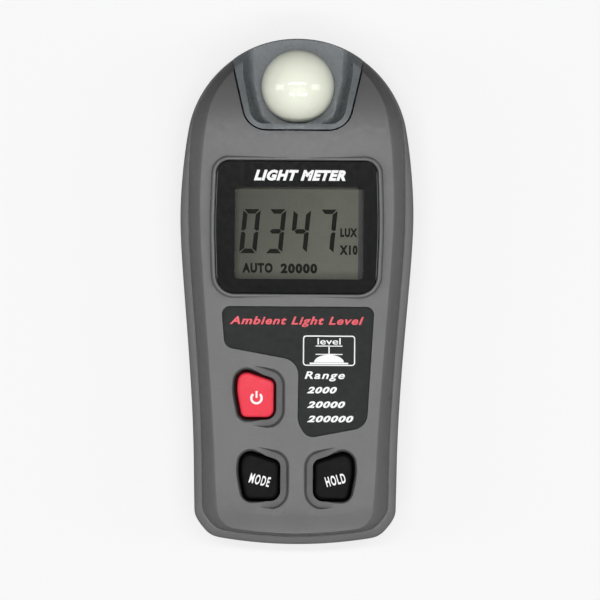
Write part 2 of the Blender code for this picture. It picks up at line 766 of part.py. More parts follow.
def make_power():
    for name, x, way in (
        ("left", -CELL_PITCH, 1),
        ("middle", 0, -1),
        ("right", CELL_PITCH, 1),
    ):
        cell(f"battery_cell_{name}", x, way)
    low, high = BAY_Y
    for name, x0, x1, y in (
        ("positive", -15.2, -7.0, high - GAP - PLATE),
        ("upper_link", -4.2, 15.2, high - GAP - PLATE),
        ("lower_link", -15.2, 4.2, low + GAP),
        ("negative", 7.0, 15.2, low + GAP),
    ):
        add(f"contact_{name}", block(x0, x1, y, y + PLATE, *CONTACT_Z), STEEL)
    standoff = 2 * GAP + PLATE + 0.3
    spring("spring_left", -CELL_PITCH, low + standoff, 1)
    spring("spring_middle", 0, high - standoff, -1)
    spring("spring_right", CELL_PITCH, low + standoff, 1)
    for name, x, mat in (("red", -13, RED), ("black", 13, RUBBER)):
        start, start_pull, end, end_pull = ((x, y, z) for y, z in BATTERY_WIRE)
        wire(f"battery_wire_{name}", start, start_pull, end, end_pull, mat)


def make_sensor_wires():
    for name, x, mat in (("signal", -3, WHITE), ("ground", 3, RUBBER)):
        start = (x, 49.5, SENSOR_BOARD_Z[0] - 0.9)
        wire(f"sensor_wire_{name}", start, (x, 42, 2.6), (x, 37, 14.6), (x, 37, 8), mat)


clear_scene()
HELPER = paint("helper", (0.5, 0.5, 0.5), 0.5)
CASE = paint("case_grey", (0.2, 0.2, 0.2), 0.5)
CUP_GREY = paint("cup_grey", (0.13, 0.15, 0.165), 0.25)
WHITE = paint("white", (0.85, 0.86, 0.8), 0.3)
BLACK_GLOSS = paint("window_black", (0.02, 0.02, 0.02), 0.1)
BLACK_MATTE = paint("label_black", (0.04, 0.042, 0.042), 0.7)
LCD = paint("lcd_grey", (0.16, 0.16, 0.12), 0.3)
RED = paint("key_red", (0.9, 0.06, 0.12), 0.4)
BLACK_RUBBER = paint("key_black", (0.012, 0.012, 0.012), 0.5)
RUBBER = paint("rubber_grey", (0.08, 0.08, 0.08), 0.7)
STEEL = paint("steel", (0.6, 0.6, 0.6), 0.3, 1.0)
FILTER = paint("filter_green", (0.1, 0.3, 0.2), 0.1)
BOARD_GREEN = paint("board_green", (0.02, 0.2, 0.08), 0.5)
CHIP = paint("chip_black", (0.02, 0.02, 0.02), 0.6)
TRIMMER_BLUE = paint("trimmer_blue", (0.03, 0.1, 0.5), 0.5)
CELL_SKIN = paint("cell_skin", (0.05, 0.05, 0.06), 0.3, 0.4)

make_front_shell()
make_rear_shell()
make_battery_door()
make_case_screws()
make_label()
make_display()
make_keypad_sheet()
for key_name in KEYS:
    make_key(key_name)
make_sensor_cup()
make_dome()
make_sensor()
make_main_board()
make_components()
make_power()
make_sensor_wires()
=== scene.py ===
import math

import bmesh
import bpy
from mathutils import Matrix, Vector
from mathutils.geometry import interpolate_bezier


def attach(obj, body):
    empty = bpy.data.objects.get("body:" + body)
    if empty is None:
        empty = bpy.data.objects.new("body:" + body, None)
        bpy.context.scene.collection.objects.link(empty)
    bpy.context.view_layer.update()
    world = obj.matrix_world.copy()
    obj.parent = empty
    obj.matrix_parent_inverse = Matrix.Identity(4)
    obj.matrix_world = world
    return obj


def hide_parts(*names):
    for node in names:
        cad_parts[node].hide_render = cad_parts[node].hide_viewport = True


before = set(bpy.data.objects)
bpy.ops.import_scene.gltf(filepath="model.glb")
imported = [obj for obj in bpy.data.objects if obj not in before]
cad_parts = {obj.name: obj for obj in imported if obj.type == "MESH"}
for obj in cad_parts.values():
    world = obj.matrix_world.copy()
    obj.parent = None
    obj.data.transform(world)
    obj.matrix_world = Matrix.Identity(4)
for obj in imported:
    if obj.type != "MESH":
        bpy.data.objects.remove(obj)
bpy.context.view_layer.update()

MM = 0.001

# Case outlines, in millimetres: half of each, from the top centre to the bottom centre. A knot is
# (x, y, heading in degrees, handle before, handle after).
STEPS = (28, 14, 18, 3, 8, 8, 12)
RIM = (
    (0, 70, 0, 0, 13.7),
    (29.55, 47.6, -74.3, 13.7, 4),
    (32.3, 20.8, -90, 10, 15),
    (28.1, -50, -90.6, 28, 3),
    (27.9, -60.3, -91, 3, 1.8),
    (25.5, -65.4, -129, 2.6, 2.4),
    (20.3, -68.35, -171, 2.6, 7),
    (0, -70, -180, 7, 0),
)
FRONT_EDGE = (
    (0, 69.6, 0, 0, 13.4),
    (28.4, 49.2, -70, 13, 5),
    (30.0, 20.8, -90, 13, 15),
    (25.9, -50, -90.6, 28, 3),
    (25.75, -59.2, -91, 3, 1.6),
    (23.6, -63.7, -129, 2.2, 2.1),
    (18.9, -66.3, -171, 2.3, 6.5),
    (0, -67.8, -180, 6.5, 0),
)
RIDGE = (
    (0, 66.8, 0, 0, 11),
    (23.3, 53, -66, 10, 5),
    (26.5, 22, -90.5, 12, 14),
    (22.0, -48, -92.5, 24, 3),
    (21.3, -59.5, -93, 3, 1.6),
    (19.9, -63.6, -128, 1.6, 1.4),
    (16.4, -65.5, -172, 1.6, 5.5),
    (0, -66.7, -180, 5.5, 0),
)
BACK = (
    (0, 64.5, 0, 0, 11.5),
    (24.6, 45.5, -74, 11, 4),
    (27.3, 20.8, -90, 10, 15),
    (23.6, -50, -90.6, 26, 3),
    (23.4, -57.6, -91, 3, 1.7),
    (21.3, -62.2, -129, 2.2, 2),
    (16.8, -64.6, -171, 2.2, 6),
    (0, -65.8, -180, 6, 0),
)
RIM_Z = 12.5
LIP_Z = 14.7
PART_Z = 15.0
TONGUE_Z = 16.3
FACE_Z = 23.0
CROWN = 1.2
CROWN_HALF = 26.0
GAP = 0.3
WALL = 2.0
FLOOR_Z = 2.4
BOSS_SPLIT = 12.0

WINDOW = (
    (-22.0, 35.9, 3.4),
    (22.0, 35.9, 3.4),
    (22.6, 18.0, 90),
    (21.9, -0.5, 5.0),
    (-21.9, -0.5, 5.0),
    (-22.6, 18.0, 90),
)
WINDOW_TOP = 24.1
WINDOW_THICK = 1.4
RIM_TOP = 24.3
RIM_WIDTH = 1.25
LABEL = (
    (-20.5, -4.3, 2.1),
    (21.4, -4.3, 2.1),
    (19.5, -37.2, 4.2),
    (3.2, -40.3, 3.2),
    (0.7, -36.0, 6.0),
    (0.9, -19.0, 5.0),
    (-19.6, -15.3, 2.6),
)
LABEL_THICK = 0.5
LABEL_POCKET = 0.8
KEY_CORNERS = (
    (-5.2, 8.05, 3.2),
    (5.78, 4.42, 2.4),
    (5.78, -6.8, 2.9),
    (-4.35, -6.8, 2.4),
    (-5.92, 1.35, 14),
)
KEYS = {"power": (-11.1, -28.65, 1), "mode": (-9.85, -51.1, 1), "hold": (10.6, -51.1, -1)}
KEY_INSET = 0.7
KEY_FLANGE = 0.6
KEY_TOP = 25.0
KEY_FLANGE_Z = (19.95, 20.6)
KEY_STEM = (2.6, 19.2)

CUP_TOP_RADIUS = 32.0
CUP_CORNER_X = 17.5
CUP = ((17.9, 63.8, 0.6), (17.2, 60.2, 8), (13.65, 44.7, 6.3))
CUP_PROUD = 0.4
CUP_WALL = 1.9
CUP_LOWER_WALL = 1.5
CUP_OPEN_END = 12.0
CUP_FLOOR = (15.1, 16.2)
CUP_SOCKET_Z = 12.6
DOME_XY = (0.0, 56.65)
DOME_R = 10.1
DOME_Z = 16.9
DOME_WALL = 1.3
DOME_NECK = (8.2, 10.0)

BAY_X = 17.0
BAY_Y = (-58.2, -6.8)
BAY_TOP = 13.5
TRAY_WALL = 1.2
DOOR_X = 18.5
DOOR_Y = 3.0
DOOR_THICK = 1.9
TONGUE = (1.1, 0.8, 1.6)
CASE_SCREWS = {
    "upper_left": (-20.5, 39.0, 3.0),
    "upper_right": (20.5, 39.0, 3.0),
    "lower_left": (-9.5, -62.2, 5.0),
    "lower_right": (9.5, -62.2, 5.0),
}
BOARD_SCREW_X = 13.0
BOARD_SCREW_Y = 39.3
BOARD_TOP = 17.2


# Outlines


def half_outline(knots):
    points = []
    for (x0, y0, a0, _, out), (x1, y1, a1, into, _), steps in zip(knots, knots[1:], STEPS):
        start, end = Vector((x0, y0)), Vector((x1, y1))
        turn0, turn1 = math.radians(a0), math.radians(a1)
        first = start + out * Vector((math.cos(turn0), math.sin(turn0)))
        second = end - into * Vector((math.cos(turn1), math.sin(turn1)))
        points += interpolate_bezier(start, first, second, end, steps + 1)[:-1]
    return points + [Vector(knots[-1][:2])]


def case_outline(knots):
    right = half_outline(knots)
    return right + [Vector((-p.x, p.y)) for p in reversed(right[1:-1])]


def between(first, second, share):
    return [a.lerp(b, share) for a, b in zip(first, second)]


def offset(outline, distance):
    """The outline moved outwards by distance, or inwards where distance is negative."""
    area = sum(a.cross(b) for a, b in zip(outline, outline[1:] + outline[:1]))
    side = distance if area > 0 else -distance
    moved = []
    for before, here, after in zip(outline[-1:] + outline, outline, outline[1:] + outline[:1]):
        first, second = (here - before).normalized(), (after - here).normalized()
        normal = Vector((first.y + second.y, -first.x - second.x)).normalized()
        stretch = max(0.5, normal.dot(Vector((first.y, -first.x))))
        moved.append(here + normal * (side / stretch))
    return moved


def rounded(corners, degrees=6):
    """A polygon of (x, y, radius) corners, each turned into an arc unless its radius is 0."""
    points = []
    for before, corner, after in zip(corners[-1:] + corners, corners, corners[1:] + corners[:1]):
        here = Vector(corner[:2])
        if not corner[2]:
            points.append(here)
            continue
        back = (Vector(before[:2]) - here).normalized()
        ahead = (Vector(after[:2]) - here).normalized()
        half = back.angle(ahead) / 2
        reach = corner[2] / math.tan(half)
        middle = here + (back + ahead).normalized() * (corner[2] / math.sin(half))
        start, end = here + back * reach - middle, here + ahead * reach - middle
        turn = start.angle_signed(end)
        count = max(1, math.ceil(abs(math.degrees(turn)) / degrees))
        for i in range(count + 1):
            angle = -turn * i / count
            cos, sin = math.cos(angle), math.sin(angle)
            spun = Vector((start.x * cos - start.y * sin, start.x * sin + start.y * cos))
            points.append(middle + spun)
    return points


def spaced(outline, step):
    """The outline with extra points wherever two neighbours are further apart than step."""
    points = []
    for here, after in zip(outline, outline[1:] + outline[:1]):
        count = max(1, math.ceil((after - here).length / step))
        points += [here.lerp(after, i / count) for i in range(count)]
    return points


def rectangle(x0, x1, y0, y1):
    return [Vector(p) for p in ((x0, y0), (x1, y0), (x1, y1), (x0, y1))]


def circle(x, y, radius, count=48):
    turns = (2 * math.pi * (i + 0.5) / count for i in range(count))
    return [Vector((x + radius * math.cos(t), y + radius * math.sin(t))) for t in turns]


def cup_outline():
    edge = math.asin(CUP_CORNER_X / CUP_TOP_RADIUS)
    count = 20
    arc = []
    for i in range(-count, count + 1):
        turn = edge * i / count
        drop = CUP_TOP_RADIUS * (1 - math.cos(turn))
        arc.append((CUP_TOP_RADIUS * math.sin(turn), RIM[0][1] - drop, 0))
    left = [(-x, y, radius) for x, y, radius in reversed(CUP)]
    return rounded([*arc, *CUP, *left])


def cup_inside(side):
    """The trough in the cup: the sides moved inwards by side, and open at the top end."""
    right = [(CUP[0][0] + 0.6, RIM[0][1] + CUP_OPEN_END), *(corner[:2] for corner in CUP[1:])]
    left = [(-x, y) for x, y in reversed(right)]
    moved = offset([Vector(p) for p in right + left], -side)
    radii = (0, 8, CUP[-1][2] - CUP_WALL)
    radii += radii[::-1]
    down = CUP_LOWER_WALL - side
    return rounded([(p.x, p.y + down, radius) for p, radius in zip(moved, radii)])


def key_outline(name, extra=0.0):
    x, y, side = KEYS[name]
    corners = [(side * cx, cy, radius) for cx, cy, radius in KEY_CORNERS]
    return [p + Vector((x, y)) for p in offset(rounded(corners), extra)]


# Solids


def smoothstep(value, start, end):
    share = min(1.0, max(0.0, (value - start) / (end - start)))
    return share * share * (3 - 2 * share)


def face_z(x, y):
    """Height of the crowned front face, which falls away towards both ends."""
    crown = CROWN * (1 - (x / CROWN_HALF) ** 2)
    return FACE_Z + crown - 4.2 * smoothstep(y, 42, 70) - 3.0 * smoothstep(-y, 56, 69)


def level(outline, z):
    return [Vector((p.x, p.y, z)) for p in outline]


def on_face(outline, lift):
    return [Vector((p.x, p.y, face_z(p.x, p.y) + lift)) for p in outline]


def loft(rings, cap=True):
    """A closed skin through rings of equal count, with both ends capped."""
    bm = bmesh.new()
    rows = [[bm.verts.new(p) for p in ring] for ring in rings]
    for low, high in zip(rows, rows[1:]):
        for i, vert in enumerate(low):
            j = (i + 1) % len(low)
            bm.faces.new((vert, low[j], high[j], high[i]))
    if cap:
        bm.faces.new(rows[0])
        bm.faces.new(rows[-1])
    bmesh.ops.recalc_face_normals(bm, faces=bm.faces)
    return bm


def prism(outline, z0, z1):
    return loft([level(outline, z0), level(outline, z1)])


def block(x0, x1, y0, y1, z0, z1):
    return prism(rectangle(x0, x1, y0, y1), z0, z1)


def turned(x, y, profile, count=48):
    return loft([level(circle(x, y, radius, count), z) for radius, z in profile])


def make(name, bm, mat, sharp=30):
    """A named object from a bmesh in millimetres."""
    bmesh.ops.scale(bm, verts=bm.verts, vec=(MM, MM, MM))
    mesh = bpy.data.meshes.new(name)
    bm.to_mesh(mesh)
    bm.free()
    if mat:
        mesh.materials.append(mat)
    mesh.shade_smooth()
    mesh.set_sharp_from_angle(angle=math.radians(sharp))
    obj = bpy.data.objects.new(name, mesh)
    bpy.context.scene.collection.objects.link(obj)
    return obj


def combine(target, *steps, sharp=30):
    """Applies (operation, bmesh) steps to target with exact Booleans, and keeps only the result."""
    helpers = []
    for operation, bm in steps:
        bmesh.ops.triangulate(bm, faces=[f for f in bm.faces if len(f.verts) > 4])
        tool = make(f"{target.name}_tool", bm, None)
        helpers.append(tool)
        modifier = target.modifiers.new(tool.name, "BOOLEAN")
        modifier.operation = operation
        modifier.solver = "EXACT"
        modifier.object = tool
    graph = bpy.context.evaluated_depsgraph_get()
    graph.update()
    mesh = bpy.data.meshes.new_from_object(target.evaluated_get(graph))
    target.modifiers.clear()
    old = target.data
    target.data = mesh
    bpy.data.meshes.remove(old)
    mesh.name = target.name
    mesh.shade_smooth()
    mesh.set_sharp_from_angle(angle=math.radians(sharp))
    for tool in helpers:
        bpy.data.meshes.remove(tool.data)
    return target


# Materials


def ranged_node(nodes, *limits):
    """A map range node, with its limits in the order from min, from max, to min, to max."""
    node = nodes.new("ShaderNodeMapRange")
    for socket, value in zip(("From Min", "From Max", "To Min", "To Max"), limits):
        node.inputs[socket].default_value = value
    return node


def faded(nodes, link, place, painted_light_fade):
    """A strength that changes along a direction, which paints shade and light onto a colour, or None."""
    if not painted_light_fade:
        return None
    direction, *limits = painted_light_fade
    dot = nodes.new("ShaderNodeVectorMath")
    dot.operation = "DOT_PRODUCT"
    dot.inputs[1].default_value = Vector(direction).normalized() / MM
    link(place.outputs["Object"], dot.inputs[0])
    node = ranged_node(nodes, *limits)
    link(dot.outputs["Value"], node.inputs["Value"])
    return node.outputs["Result"]


CORNER_OPENNESS = (0.45, 0.95)  # the open share of the view where the painted corner shade is darkest, and where there is none


def shaded_corner(nodes, link, painted_corner_shade):
    """A painted shade: a strength that drops in narrow corners, found with the ambient occlusion node, or
    None.
    """
    if not painted_corner_shade:
        return None
    reach, deepest = painted_corner_shade
    closed = nodes.new("ShaderNodeAmbientOcclusion")
    closed.samples = 6
    closed.inputs["Distance"].default_value = reach * MM
    node = ranged_node(nodes, *CORNER_OPENNESS, deepest, 1)
    link(closed.outputs["AO"], node.inputs["Value"])
    return node.outputs["Result"]


def surface(
    name,
    rgb,
    rough,
    metal=0.0,
    grain=0.35,
    relief=0.012,
    shade=0.08,
    spread=0.07,
    edge_highlight=0.0,
    stretch=(1, 1, 1),
    specular=0.5,
    alpha=1.0,
    subsurface=0.0,
    painted_light_fade=None,
    painted_corner_shade=None,
):
    """A moulded or metal finish: blotches, fine grain, uneven gloss and a painted highlight on edges.

    grain and relief are in millimetres: the size of the texture and its depth. fade is
    (direction, start, end, low, high): the colour's strength from start to end, in millimetres,
    along the direction, as painted shade and light. crevice is (reach in millimetres, strength
    left in the deepest corners), as painted shade in narrow corners. wear is the strength of a
    painted highlight on edges.
    """
    mat = bpy.data.materials.new(name)
    mat.use_nodes = True
    nodes, link = mat.node_tree.nodes, mat.node_tree.links.new
    shader = nodes["Principled BSDF"]
    place = nodes.new("ShaderNodeTexCoord")
    scale = nodes.new("ShaderNodeMapping")
    scale.inputs["Scale"].default_value = [value / MM for value in stretch]
    link(place.outputs["Object"], scale.inputs["Vector"])

    def noise(size, detail):
        node = nodes.new("ShaderNodeTexNoise")
        node.inputs["Scale"].default_value = 1 / size
        node.inputs["Detail"].default_value = detail
        link(scale.outputs["Vector"], node.inputs["Vector"])
        return node.outputs["Fac"]

    def ranged(value, low, high):
        node = ranged_node(nodes, 0.3, 0.7, low, high)
        link(value, node.inputs["Value"])
        return node.outputs["Result"]

    def mixed(factor, first, second):
        node = nodes.new("ShaderNodeMix")
        node.data_type = "RGBA"
        link(factor, node.inputs["Factor"])
        for socket, value in ((6, first), (7, second)):
            if isinstance(value, tuple):
                node.inputs[socket].default_value = (*value, 1)
            else:
                link(value, node.inputs[socket])
        return node.outputs[2]

    dark = tuple(value * (1 - shade) for value in rgb)
    light = tuple(min(1.0, value * (1 + shade)) for value in rgb)
    colour = mixed(ranged(noise(9.0, 3), 0, 1), dark, light)
    fleck = tuple(min(1.0, value * (1 + 2 * shade)) for value in rgb)
    colour = mixed(ranged(noise(grain * 1.7, 2), 0, 0.5), colour, fleck)
    # Painted highlight: edges that the bevel node rounds off are mixed towards a lighter colour.
    if edge_highlight:
        bevel = nodes.new("ShaderNodeBevel")
        bevel.samples = 4
        bevel.inputs["Radius"].default_value = 0.3 * MM
        plain = nodes.new("ShaderNodeNewGeometry")
        dot = nodes.new("ShaderNodeVectorMath")
        dot.operation = "DOT_PRODUCT"
        link(bevel.outputs["Normal"], dot.inputs[0])
        link(plain.outputs["Normal"], dot.inputs[1])
        edge = ranged_node(nodes, 0.995, 0.9, 0, edge_highlight)
        link(dot.outputs["Value"], edge.inputs["Value"])
        highlight_colour = tuple(min(1.0, value * 1.5 + 0.05) for value in rgb)
        colour = mixed(edge.outputs["Result"], colour, highlight_colour)
    for strength in (faded(nodes, link, place, painted_light_fade), shaded_corner(nodes, link, painted_corner_shade)):
        if strength:
            weaker = nodes.new("ShaderNodeVectorMath")
            weaker.operation = "SCALE"
            link(colour, weaker.inputs[0])
            link(strength, weaker.inputs["Scale"])
            colour = weaker.outputs["Vector"]
    link(colour, shader.inputs["Base Color"])
    low, high = max(0.02, rough - spread), min(1.0, rough + spread)
    link(ranged(noise(1.6, 3), low, high), shader.inputs["Roughness"])
    bump = nodes.new("ShaderNodeBump")
    bump.inputs["Distance"].default_value = relief * MM
    bump.inputs["Strength"].default_value = 1
    link(noise(grain, 4), bump.inputs["Height"])
    link(bump.outputs["Normal"], shader.inputs["Normal"])
    shader.inputs["Metallic"].default_value = metal
    shader.inputs["Specular IOR Level"].default_value = specular
    shader.inputs["Alpha"].default_value = alpha
    if subsurface:
        shader.inputs["Subsurface Weight"].default_value = subsurface
        shader.inputs["Subsurface Radius"].default_value = (1.0, 0.95, 0.8)
        shader.inputs["Subsurface Scale"].default_value = 2 * MM
    return mat


# The case moulding gets a painted highlight on its edges, painted shade that darkens it towards the top end
# from 41 to 60 mm along y, down to 0.45 of its colour, and painted shade in narrow corners.
CASE = surface(
    "case_moulding",
    (0.137, 0.137, 0.137),
    0.42,
    edge_highlight=0.6,
    shade=0.05,
    specular=0.35,
    painted_light_fade=((0, 1, 0), 41, 60, 1, 0.45),
    painted_corner_shade=(4.0, 0.15),
)
# The rear moulding here, and the cup and dark mouldings below, get a weaker painted highlight on their
# edges.
REAR_CASE = surface("rear_moulding", (0.16, 0.16, 0.16), 0.45, edge_highlight=0.4, shade=0.05, specular=0.35)
CUP_GREY = surface(
    "cup_moulding", (0.105, 0.117, 0.125), 0.3, grain=0.8, relief=0.002, edge_highlight=0.3, specular=0.3
)
PRINT_BLACK = surface("window_print", (0.011, 0.011, 0.0115), 0.1, grain=2.5, relief=0.0006, spread=0.02)
LABEL_BLACK = surface(
    "label_film", (0.0165, 0.0185, 0.018), 0.6, grain=0.25, relief=0.008, shade=0.1, specular=0.2
)
# The film is darker towards the upper left and lighter towards the lower right, as painted shade and light.
LCD_GREY = surface(
    "lcd_film",
    (0.095, 0.098, 0.076),
    0.4,
    grain=0.5,
    relief=0.0008,
    specular=0.2,
    painted_light_fade=((1, -0.7, 0), -28, 6, 0.72, 1.4),
)
SEGMENT = surface("lcd_segment", (0.006, 0.006, 0.004), 0.5, relief=0.001, specular=0.1)
DARK = surface("dark_moulding", (0.012, 0.012, 0.013), 0.45, edge_highlight=0.2)
OPAL = surface(
    "opal_diffuser",
    (0.89, 0.915, 0.77),
    0.08,
    grain=3,
    relief=0.0002,
    shade=0.012,
    spread=0.02,
    subsurface=0.1,
    specular=0.5,
)
# Darker copies of the key colours, as painted shade on the keys' sides.
RED_KEY_SHADE = surface("red_key_painted_shade", (0.09, 0.004, 0.008), 0.6, specular=0.1)
BLACK_KEY_SHADE = surface("black_key_painted_shade", (0.002, 0.002, 0.002), 0.7, specular=0.05)
RED = surface("red_key", (0.8, 0.038, 0.068), 0.36, grain=0.5, relief=0.006, shade=0.04, specular=0.2)
KEY_BLACK = surface("black_key", (0.0035, 0.0035, 0.0035), 0.5, relief=0.004, specular=0.09)
WHITE_INK = surface("white_ink", (0.86, 0.86, 0.86), 0.5, grain=0.15, relief=0.006, shade=0.03)
RED_INK = surface("red_ink", (0.72, 0.075, 0.1), 0.5, grain=0.15, relief=0.006, shade=0.1)
WHITE_PLASTIC = surface("white_moulding", (0.8, 0.8, 0.78), 0.35)
SILICONE = surface("grey_silicone", (0.2, 0.2, 0.21), 0.6, grain=0.5)
CARBON = surface("carbon_rubber", (0.02, 0.02, 0.02), 0.7, grain=0.2)
STEEL = surface("brushed_steel", (0.56, 0.56, 0.55), 0.3, 1, grain=0.12, stretch=(1, 8, 1))
NICKEL = surface("nickel_plate", (0.66, 0.63, 0.57), 0.22, 1, grain=0.3, relief=0.006)
FILTER = surface("filter_glass", (0.08, 0.3, 0.18), 0.08, grain=3, relief=0.001)
BOARD = surface("board_mask", (0.015, 0.16, 0.06), 0.35, grain=0.6, relief=0.02, shade=0.2)
CHIP = surface("chip_epoxy", (0.02, 0.02, 0.02), 0.6, grain=0.15)
TRIMMER = surface("trimmer_body", (0.03, 0.09, 0.42), 0.45)
WIRE_RED = surface("red_wire", (0.6, 0.03, 0.03), 0.4)
WIRE_BLACK = surface("black_wire", (0.02, 0.02, 0.02), 0.4)
WIRE_WHITE = surface("white_wire", (0.8, 0.8, 0.78), 0.4)
CLEAR = surface("clear_pane", (0.01, 0.01, 0.01), 0.04, grain=3, relief=0.0003, spread=0.01, alpha=0.06)
CELL_BLACK = surface("cell_sleeve", (0.02, 0.022, 0.03), 0.25, 0.3, grain=1.5, relief=0.004)


# Front shell


def front_rings(grow=0.0, lift=0.0):
    edge = offset(case_outline(FRONT_EDGE), grow)
    ridge = offset(case_outline(RIDGE), grow)
    slope = (
        (0.0, 0.0),
        (0.11, 0.2),
        (0.22, 0.38),
        (0.38, 0.575),
        (0.55, 0.74),
        (0.7, 0.86),
        (0.82, 0.93),
        (0.9, 0.966),
        (0.96, 0.988),
        (1.0, 0.9985),
    )
    rings = []
    for share, height in slope:
        ring = between(edge, ridge, share)
        tops = (face_z(p.x, p.y) + lift - PART_Z for p in ridge)
        rings.append([Vector((p.x, p.y, PART_Z + height * z)) for p, z in zip(ring, tops)])
    for size in (0.985, 0.965, 0.93, 0.86, 0.78, 0.68, 0.56, 0.42, 0.28, 0.14, 0.02):
        rings.append([Vector((p.x * size, p.y * size, 0)) for p in ridge])
        for p in rings[-1]:
            p.z = face_z(p.x, p.y) + lift
    return rings


def front_void():
    edge, ridge = case_outline(FRONT_EDGE), offset(case_outline(RIDGE), -1.6)
    inner = offset(edge, -WALL)
    rings = [
        level(offset(edge, -1.3), PART_Z - 1),
        level(offset(edge, -1.3), TONGUE_Z + GAP),
        level(inner, TONGUE_Z + GAP + 0.3),
    ]
    for share, height in ((0.5, 0.6), (1.0, 1.0)):
        ring = between(inner, ridge, share)
        tops = (face_z(p.x, p.y) - WALL - PART_Z for p in ridge)
        rings.append([Vector((p.x, p.y, PART_Z + height * z)) for p, z in zip(ring, tops)])
    for size in (0.8, 0.5):
        rings.append([Vector((p.x * size, p.y * size, 0)) for p in ridge])
        for p in rings[-1]:
            p.z = face_z(p.x, p.y) - WALL
    return loft(rings)


def key_well(name):
    """The hole for a key, with a small rounded lip where it meets the face."""
    outline = key_outline(name)
    rings = [level(outline, PART_Z)]
    for grow, lift in ((0, -0.9), (0.03, -0.7), (0.12, -0.5), (0.28, -0.34), (0.5, -0.2), (1.6, 0.75)):
        rings.append(on_face(key_outline(name, grow), lift))
    return loft(rings)


DISH_REACH = 2.6
DISH_DEPTH = 1.25
DISH_SPAN = (-2.5, 5.5)


def key_dish(name):
    """A tilted hollow round a key: deep on the side towards the middle, gone on the outer side."""

    def floor(outline, rise):
        return [Vector((p.x, p.y, dish_z(name, p.x, p.y) + rise)) for p in outline]

    start = spaced_key(name, 0.4)
    rings = [floor(scaled(start, size), 0) for size in (0.05, 0.4, 0.75, 1)]
    rings += [floor(spaced_key(name, grow), 0) for grow in (0.9, 1.3)]
    rings.append(floor(spaced_key(name, 1.55), 0.07))
    rings.append(floor(spaced_key(name, 1.8), 0.3))
    rings.append(floor(spaced_key(name, 2.05), 0.7))
    rings.append(floor(spaced_key(name, 2.3), 1.06))
    rings.append(floor(spaced_key(name, DISH_REACH), 1.27))
    rings.append(floor(spaced_key(name, DISH_REACH + 0.5), 1.6))
    return loft(rings)


def spaced_key(name, grow):
    """The key's outline with its points close enough together to follow the face."""
    x, y, side = KEYS[name]
    corners = [(side * cx, cy, radius) for cx, cy, radius in KEY_CORNERS]
    base = spaced(rounded(corners), 0.8)
    return [p + Vector((x, y)) for p in offset(base, grow)]


def dish_z(name, x, y):
    middle, _, side = KEYS[name]
    share = smoothstep((x - middle) * side, *DISH_SPAN)
    return face_z(x, y) - (DISH_DEPTH * share - 0.12 * (1 - share))


NORMAL_REACH = 0.12  # how far off a surface, in millimetres, a face may lie and still be its own


def true_normals(obj, surfaces):
    """Shades the parts of a mesh that lie on known surfaces z(x, y), in millimetres, as smooth as
    those surfaces are, whatever the cuts have done to the faces."""
    mesh = obj.data
    normals = [corner.vector.copy() for corner in mesh.corner_normals]
    step = 0.05
    points = [vert.co / MM for vert in mesh.vertices]
    for face in mesh.polygons:
        if face.normal.z < 0.8:
            continue
        corners = [points[i] for i in face.vertices]
        misses = [max(abs(p.z - surface_z(p.x, p.y)) for p in corners) for surface_z in surfaces]
        if min(misses) > NORMAL_REACH:
            continue
        surface_z = surfaces[misses.index(min(misses))]
        for corner in face.loop_indices:
            p = points[mesh.loops[corner].vertex_index]
            along = surface_z(p.x + step, p.y) - surface_z(p.x - step, p.y)
            up = surface_z(p.x, p.y + step) - surface_z(p.x, p.y - step)
            normals[corner] = Vector((-along, -up, 2 * step)).normalized()
    mesh.normals_split_custom_set(normals)


